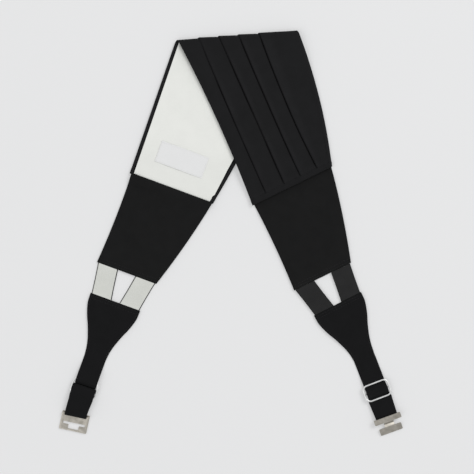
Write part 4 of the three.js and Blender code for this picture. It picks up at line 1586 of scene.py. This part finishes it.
    def build(self) -> None:
        """Build the tab and strap."""
        tab = curve_through(np.array(self.tab_stations()), 8)
        start = rows_of(10.0, 3.0, 1.1)[:4]
        first = np.column_stack(
            [np.interp(start, tab[:, 0], tab[:, k]) if k else start for k in range(4)]
        )
        first[:, 3] *= end_taper(start, 100.0, 1.1)
        tab = np.vstack([first, tab[tab[:, 0] > start[-1] + 0.3]])
        strap = curve_through(np.vstack([tab[-1], self.strap_stations()]), 5)[1:]
        strap[-4:, 3] *= np.array([0.95, 0.8, 0.55, 0.3])
        stations = np.vstack([tab, strap])
        columns = 22
        points = in_place(self.arm.to_raw(self.rings(stations, columns)))
        node = f"back_strap_{self.arm.name}"
        piece = loft_piece(f"{node}_cloth", points, columns // 2)
        dress(piece, STRAP_TWILL, [node])


# ---- metal hardware ----


def seat(piece: bpy.types.Object, arm: Arm, distance: float, level: float) -> None:
    """Turn and move a piece modelled at the origin onto an arm's strap.

    Args:
        piece: The piece, its x across the strap, its y back along it and its face up.
        arm: The arm.
        distance: Where it sits along the strap.
        level: Level of its origin.
    """
    point = np.append(arm.spine(np.array(distance)), level)
    place = in_place(arm.to_raw(point))
    turn = Matrix.Rotation(math.radians(arm.seam_tilt + float(arm.bearing(distance))), 4, "Z")
    over = Matrix.Identity(4) if arm.facing is Facing.UP else Matrix.Rotation(math.pi, 4, "Y")
    piece.data.transform(Matrix.Translation(Vector(place) * MM) @ turn @ over)
    piece.data.update()


def weld(piece: bpy.types.Object, others: Sequence[bpy.types.Object]) -> None:
    """Join solid pieces into the first one, as one body."""
    for other in others:
        apply_modifier(piece, "BOOLEAN", {"operation": "UNION", "solver": "EXACT", "object": other})
        bpy.data.objects.remove(other)


def round_bar(radius: float, length: float, sides: int = 20) -> bpy.types.Object:
    """A round bar along x, centred on the origin, with softened ends."""
    deselect_all()
    bpy.ops.mesh.primitive_cylinder_add(
        vertices=sides, radius=radius * MM, depth=length * MM, rotation=(0, math.pi / 2, 0)
    )
    bar = bpy.context.object
    bpy.ops.object.transform_apply(location=True, rotation=True, scale=True)
    return bar


@dataclass
class WireSlide:
    """A three-bar slide bent and welded from round wire."""

    arm: Arm
    strap: BackStrap
    width: float = 30.0
    corner: float = 5.0
    wire_sides: int = 16
    corner_steps: int = 8
    plating: float = 0.1
    flatness: float = 0.6

    def frame_of_wire(self) -> bpy.types.Object:
        """The wire's closed outer frame, drawn out along its sides and spun round its corners."""
        radius = self.strap.wire_radius + self.plating
        half_width = self.width / 2 - self.strap.wire_radius
        half_span = self.strap.bar_spacing
        straight, side = half_width - self.corner, half_span - self.corner
        deselect_all()
        bpy.ops.mesh.primitive_circle_add(
            vertices=self.wire_sides,
            radius=radius * MM,
            fill_type="NOTHING",
            location=(-straight * MM, half_span * MM, 0),
            rotation=(0, math.pi / 2, 0),
        )
        piece = bpy.context.object
        bpy.ops.object.transform_apply(location=True, rotation=True, scale=True)
        self.flatten_round(piece, radius, half_span)
        bpy.ops.object.mode_set(mode="EDIT")
        bpy.ops.mesh.select_all(action="SELECT")
        runs = ((2 * straight, 0.0), (0.0, -2 * side), (-2 * straight, 0.0), (0.0, 2 * side))
        centres = ((straight, side), (straight, -side), (-straight, -side), (-straight, side))
        for (run_x, run_y), (centre_x, centre_y) in zip(runs, centres):
            bpy.ops.mesh.extrude_region_move(TRANSFORM_OT_translate={"value": (run_x * MM, run_y * MM, 0)})
            bpy.ops.mesh.spin(
                steps=self.corner_steps,
                angle=math.pi / 2,
                center=(centre_x * MM, centre_y * MM, 0),
                axis=(0, 0, 1),
            )
        bpy.ops.object.mode_set(mode="OBJECT")
        clean_shell(piece, close=False)
        return piece

    def flatten_round(self, piece: bpy.types.Object, radius: float, half_span: float) -> None:
        """Press the wire's round section a little flat on all four sides."""
        for vertex in piece.data.vertices:
            for axis, middle in ((1, half_span), (2, 0.0)):
                share = (vertex.co[axis] / MM - middle) / radius
                pressed = math.copysign(min(1.0, abs(share)) ** self.flatness, share)
                vertex.co[axis] = (middle + pressed * radius) * MM

    def build(self) -> None:
        """Build the slide on its strap."""
        piece = self.frame_of_wire()
        piece.name = f"slide_{self.arm.name}_wire"
        weld(piece, [round_bar(self.strap.wire_radius, self.width - 2 * self.strap.wire_radius)])
        seat(piece, self.arm, self.arm.slide_at, self.strap.slide_level)
        shade(piece, 40)
        dress(piece, SLIDE_WIRE, [f"slide_{self.arm.name}"])


@dataclass
class ClaspHalf:
    """What the hook and the eye share: a stamped plate with a rail behind it for the strap."""

    arm: Arm
    strap: BackStrap
    width: float = 30.6
    corner: float = 1.0
    setback: float = 2.0
    post_length: float = 2.4
    clearance: float = 0.3

    def plate_from(self, outline: Sequence[tuple[float, float]], level: float) -> bpy.types.Object:
        """A flat stamped plate cut to an outline.

        Args:
            outline: Corners of the outline, in order.
            level: Level of the plate's back.

        Returns:
            The plate.
        """
        deselect_all()
        bpy.ops.mesh.primitive_circle_add(vertices=len(outline), radius=1.0, fill_type="NGON")
        plate = bpy.context.object
        for vertex, (x, y) in zip(plate.data.vertices, outline):
            vertex.co = (x * MM, y * MM, level * MM)
        bpy.ops.object.mode_set(mode="EDIT")
        bpy.ops.mesh.select_all(action="SELECT")
        bpy.ops.mesh.extrude_region_move(
            TRANSFORM_OT_translate={"value": (0, 0, self.strap.plate_thickness * MM)}
        )
        bpy.ops.object.mode_set(mode="OBJECT")
        clean_shell(plate, close=False)
        return plate

    def rail_and_posts(self) -> list[bpy.types.Object]:
        """The rail that the strap loops round and the two posts that join it to the plate."""
        post_width = (self.width - self.strap.doubled_width) / 2 - 2 * self.clearance
        post_height = self.strap.rail_to_plate + self.strap.rail_radius + 0.2
        parts = [round_bar(self.strap.rail_radius, self.width - post_width)]
        for side in (-1, 1):
            deselect_all()
            centre = side * (self.width / 2 - self.clearance / 2 - post_width / 2)
            bpy.ops.mesh.primitive_cube_add(
                size=1, location=(centre * MM, 0, (post_height / 2 - self.strap.rail_radius) * MM)
            )
            post = bpy.context.object
            post.scale = (post_width * MM, self.post_length * MM, post_height * MM)
            bpy.ops.object.transform_apply(location=True, rotation=True, scale=True)
            parts.append(post)
        return parts

    def complete(self, piece: bpy.types.Object, name: str, node: str) -> None:
        """Soften the edges, seat the half on its strap and dress it."""
        piece.name = name
        apply_modifier(
            piece,
            "BEVEL",
            {"width": 0.16 * MM, "segments": 3, "limit_method": "ANGLE", "angle_limit": math.radians(40)},
        )
        self.painted_metal_light(piece)
        seat(piece, self.arm, self.arm.rail_at, self.strap.rail_level)
        shade(piece, 40)
        dress(piece, CLASP_NICKEL, [node])

    def painted_metal_light(self, piece: bpy.types.Object) -> None:
        """Mark painted shade and painted highlight on the metal; none on a flat plate."""


def rounded_outline(corners: Sequence[tuple[float, float, float]], steps: int = 5) -> list[tuple[float, float]]:
    """An outline with its corners rounded.

    Args:
        corners: Each corner's x, y and radius, in order round the outline.
        steps: How many points each rounded corner gets.

    Returns:
        The outline's points.
    """
    points: list[tuple[float, float]] = []
    count = len(corners)
    for index, (x, y, radius) in enumerate(corners):
        here = np.array([x, y])
        if radius <= 0:
            points.append((x, y))
            continue
        before = np.array(corners[index - 1][:2]) - here
        after = np.array(corners[(index + 1) % count][:2]) - here
        start = here + before / np.linalg.norm(before) * radius
        end = here + after / np.linalg.norm(after) * radius
        for share in np.linspace(0, 1, steps):
            bend = (1 - share) ** 2 * start + 2 * share * (1 - share) * here + share**2 * end
            points.append((float(bend[0]), float(bend[1])))
    return points


@dataclass
class ClaspHook(ClaspHalf):
    """The half with the T-shaped head, which hangs a little from its rail."""

    setback: float = 3.2
    bar_length: float = 6.0
    neck_width: float = 11.0
    neck_length: float = 6.2
    head_width: float = 25.3
    head_length: float = 7.2
    jog: float = 1.6
    crimp: float = 0.8
    droop: float = 9.0

    def build(self) -> None:
        """Build the hook."""
        bar_end = self.setback - self.bar_length
        head_start = bar_end - self.neck_length
        head_end = head_start - self.head_length
        half_bar, half_neck, half_head, round_off = self.width / 2, self.neck_width / 2, self.head_width / 2, 1.0
        outline = rounded_outline(
            [
                (-half_bar, self.setback, round_off),
                (-half_bar, bar_end, round_off),
                (-half_neck, bar_end, 0.5),
                (-half_neck, head_start, 0.5),
                (-half_head, head_start, round_off),
                (-half_head, head_end, round_off),
                (half_head, head_end, round_off),
                (half_head, head_start, round_off),
                (half_neck, head_start, 0.5),
                (half_neck, bar_end, 0.5),
                (half_bar, bar_end, round_off),
                (half_bar, self.setback, round_off),
            ]
        )
        piece = self.plate_from(outline, self.strap.rail_to_plate)
        self.bend_neck(piece, bar_end, head_start)
        weld(piece, self.rail_and_posts())
        piece.data.transform(Matrix.Rotation(math.radians(self.droop), 4, "X"))
        self.complete(piece, "hook_plate", "hook")

    def painted_metal_light(self, piece: bpy.types.Object) -> None:
        """Painted shade where the neck leaves the bar, a painted highlight where it rises to the head, a little
        darker on the head.
        """
        tilt = math.radians(self.droop)
        bar_end = self.setback - self.bar_length
        marks = piece.data.attributes.new(SHADOWED, "FLOAT", "POINT")
        for vertex, mark in zip(piece.data.vertices, marks.data):
            flat_y = (vertex.co.y * math.cos(tilt) + vertex.co.z * math.sin(tilt)) / MM
            along = (bar_end - flat_y) / self.neck_length
            # Painted shade where the neck bends down from the bar, painted highlight where it bends back up to the
            # head.
            dull = 0.45 * smooth((along - 0.02) / 0.14) * smooth((0.46 - along) / 0.1)
            painted_highlight = 0.9 * smooth((along - 0.42) / 0.12) * smooth((0.98 - along) / 0.12)
            mark.value = float(dull - painted_highlight + 0.1 * smooth((along - 0.95) / 0.1))

    def bend_neck(self, piece: bpy.types.Object, bar_end: float, head_start: float) -> None:
        """Cut across the neck and crimp it: down past the head's level, then back up to it."""
        only(piece)
        bpy.ops.object.mode_set(mode="EDIT")
        for share in np.linspace(0.06, 0.94, 12):
            bpy.ops.mesh.select_all(action="SELECT")
            cut = mix(bar_end, head_start, share) * MM
            bpy.ops.mesh.bisect(plane_co=(0, cut, 0), plane_no=(0, 1, 0))
        bpy.ops.object.mode_set(mode="OBJECT")
        for vertex in piece.data.vertices:
            along = (bar_end - vertex.co.y / MM) / (bar_end - head_start)
            fall = (self.jog + self.crimp) * smooth((along - 0.08) / 0.3)
            vertex.co.z -= float(fall - self.crimp * smooth((along - 0.45) / 0.4)) * MM
        piece.data.update()


@dataclass
class ClaspEye(ClaspHalf):
    """The half with the T-shaped opening that takes the hook's head and neck."""

    length: float = 20.3
    bar_length: float = 11.1
    slot_length: float = 2.7
    strip_length: float = 2.0
    play: float = 0.8
    head_width: float = 25.3
    neck_width: float = 11.0

    def build(self) -> None:
        """Build the eye."""
        end = self.setback - self.length
        slot_top = self.setback - self.bar_length
        slot_bottom = slot_top - self.slot_length
        notch_bottom = end + self.strip_length
        half = self.width / 2
        slot_half = (self.head_width - self.play) / 2
        notch_half = (self.neck_width + self.play) / 2
        outline = rounded_outline(
            [(-half, self.setback, 1.0), (-half, end, 1.0), (half, end, 1.0), (half, self.setback, 1.0)]
        )
        opening = rounded_outline(
            [
                (-slot_half, slot_top, 0.5),
                (-slot_half, slot_bottom, 0.5),
                (-notch_half, slot_bottom, 0.4),
                (-notch_half, notch_bottom, 0.6),
                (notch_half, notch_bottom, 0.6),
                (notch_half, slot_bottom, 0.4),
                (slot_half, slot_bottom, 0.5),
                (slot_half, slot_top, 0.5),
            ]
        )
        piece = self.plate_from(outline, self.strap.rail_to_plate)
        cutter = self.plate_from(opening, self.strap.rail_to_plate)
        cutter.data.transform(
            Matrix.Translation((0, 0, self.strap.rail_to_plate * MM))
            @ Matrix.Diagonal((1, 1, 3, 1))
            @ Matrix.Translation((0, 0, -(self.strap.rail_to_plate + 0.6) * MM))
        )
        apply_modifier(piece, "BOOLEAN", {"operation": "DIFFERENCE", "solver": "EXACT", "object": cutter})
        bpy.data.objects.remove(cutter)
        weld(piece, self.rail_and_posts())
        self.complete(piece, "eye_plate", "eye")


# ---- seams ----


@dataclass
class Seams:
    """The rows of stitches that show on the cloth."""

    inset: float = 2.2

    def tab_paths(self, arm: Arm) -> list[Array]:
        """Stitches down both edges of a tab and across its top, in the shared plan."""
        strap = BackStrap(arm)
        stations = curve_through(np.array(strap.tab_stations()), 6)
        distance = stations[:, 0]
        inside = (distance > 2.2) & (distance < GARMENT.tab_length - 2)
        distance = distance[inside]
        half = stations[inside, 2] / 2 - self.inset
        level = stations[inside, 3] + 0.02
        across = tilted(arm.bearing(distance))
        paths = []
        for side in (-1, 1):
            plan = arm.spine(distance) + side * half[:, None] * across
            paths.append(arm.to_raw(np.column_stack([plan, level])))
        for row in (2.2, 5.0):
            middle = arm.spine(np.array(row))
            reach = GARMENT.tab_width / 2 - self.inset - 0.4
            along = tilted(float(arm.bearing(row)))
            ends = np.stack([middle - along * reach, middle + along * reach])
            paths.append(arm.to_raw(np.column_stack([ends, [strap.tab_thickness + 0.02] * 2])))
        return paths

    def panel_paths(self, arm: Arm) -> list[Array]:
        """Stitches across a panel's end, where the bands are sewn in."""
        panel = SidePanel(arm)
        paths = []
        for up in (2.4, 5.2):
            below = np.array([GARMENT.panel_length - up])
            left, right = panel.edges(below)
            ends = np.vstack([left + [2.0, 0.0], right - [2.0, 0.0]])
            paths.append(arm.to_raw(np.column_stack([ends, [panel.thickness + 0.0] * 2])))
        return paths

    def build(self) -> None:
        """Build the stitches of both arms."""
        for arm in (RIGHT_ARM, LEFT_ARM):
            Stitching(f"tab_stitches_{arm.name}", BLACK_THREAD, "strap_webbing").sew(self.tab_paths(arm))
            Stitching(f"panel_stitches_{arm.name}", BLACK_THREAD, "panel_cloth").sew(self.panel_paths(arm))


# ---- floor, light and camera ----


@dataclass
class Studio:
    """A pale floor, soft light from the upper right with a fill from the lower left, and a camera straight above."""

    frame_width: float = 521.4
    lens: float = 85.0
    sensor: float = 36.0
    centre: tuple[float, float] = (6.16, -3.86)

    def camera(self) -> None:
        """Place the camera straight above, with the photograph's framing."""
        data = bpy.data.cameras.new("above")
        data.lens = self.lens
        data.sensor_width = self.sensor
        data.clip_end = 50.0
        camera = bpy.data.objects.new("above", data)
        distance = self.frame_width * self.lens / self.sensor
        camera.location = (self.centre[0] * MM, self.centre[1] * MM, (distance + 3.0) * MM)
        bpy.context.scene.collection.objects.link(camera)
        bpy.context.scene.camera = camera

    def lamp(self, name: str, place: tuple[float, float, float], size: float, power: float) -> None:
        """Add a square lamp that looks at the garment."""
        data = bpy.data.lights.new(name, "AREA")
        data.size = size
        data.energy = power
        lamp = bpy.data.objects.new(name, data)
        lamp.location = place
        lamp.rotation_euler = (-Vector(place)).to_track_quat("-Z", "Y").to_euler()
        bpy.context.scene.collection.objects.link(lamp)

    def floor(self) -> None:
        """Lay the floor just under the garment."""
        deselect_all()
        bpy.ops.mesh.primitive_plane_add(size=6.0, location=(0, 0, -0.0002))
        floor = bpy.context.object
        floor.name = "floor"
        bpy.ops.object.transform_apply(location=True, rotation=True, scale=True)
        floor.data.materials.append(finish_of(FloorPaper()))

    def build(self) -> None:
        """Set up the whole studio."""
        self.camera()
        self.floor()
        self.lamp("window_upper_right", (2.3, 2.1, 2.9), 1.8, 62.0)
        self.lamp("soft_fill_left", (-2.4, -1.6, 3.0), 2.6, 26.0)
        world = bpy.data.worlds.new("studio")
        world.use_nodes = True
        background = world.node_tree.nodes["Background"]
        background.inputs["Color"].default_value = linear("#f4f5f7")
        background.inputs["Strength"].default_value = 0.7
        bpy.context.scene.world = world
        bpy.context.scene.view_settings.view_transform = "Standard"


def main() -> None:
    """Build the studio, then each part of the cummerbund in order."""
    logging.basicConfig(level=logging.INFO, format="%(name)s: %(message)s")
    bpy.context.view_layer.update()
    Studio().build()
    front = PleatedFront()
    front.build()
    Lining(front).build()
    Label().build()
    for arm in (RIGHT_ARM, LEFT_ARM):
        SidePanel(arm).build()
        ElasticBands(arm).build()
        strap = BackStrap(arm)
        strap.build()
        WireSlide(arm, strap).build()
        if arm.facing is Facing.UP:
            ClaspHook(arm, strap).build()
        else:
            ClaspEye(arm, strap).build()
    Seams().build()


if __name__ == "__main__":
    main()
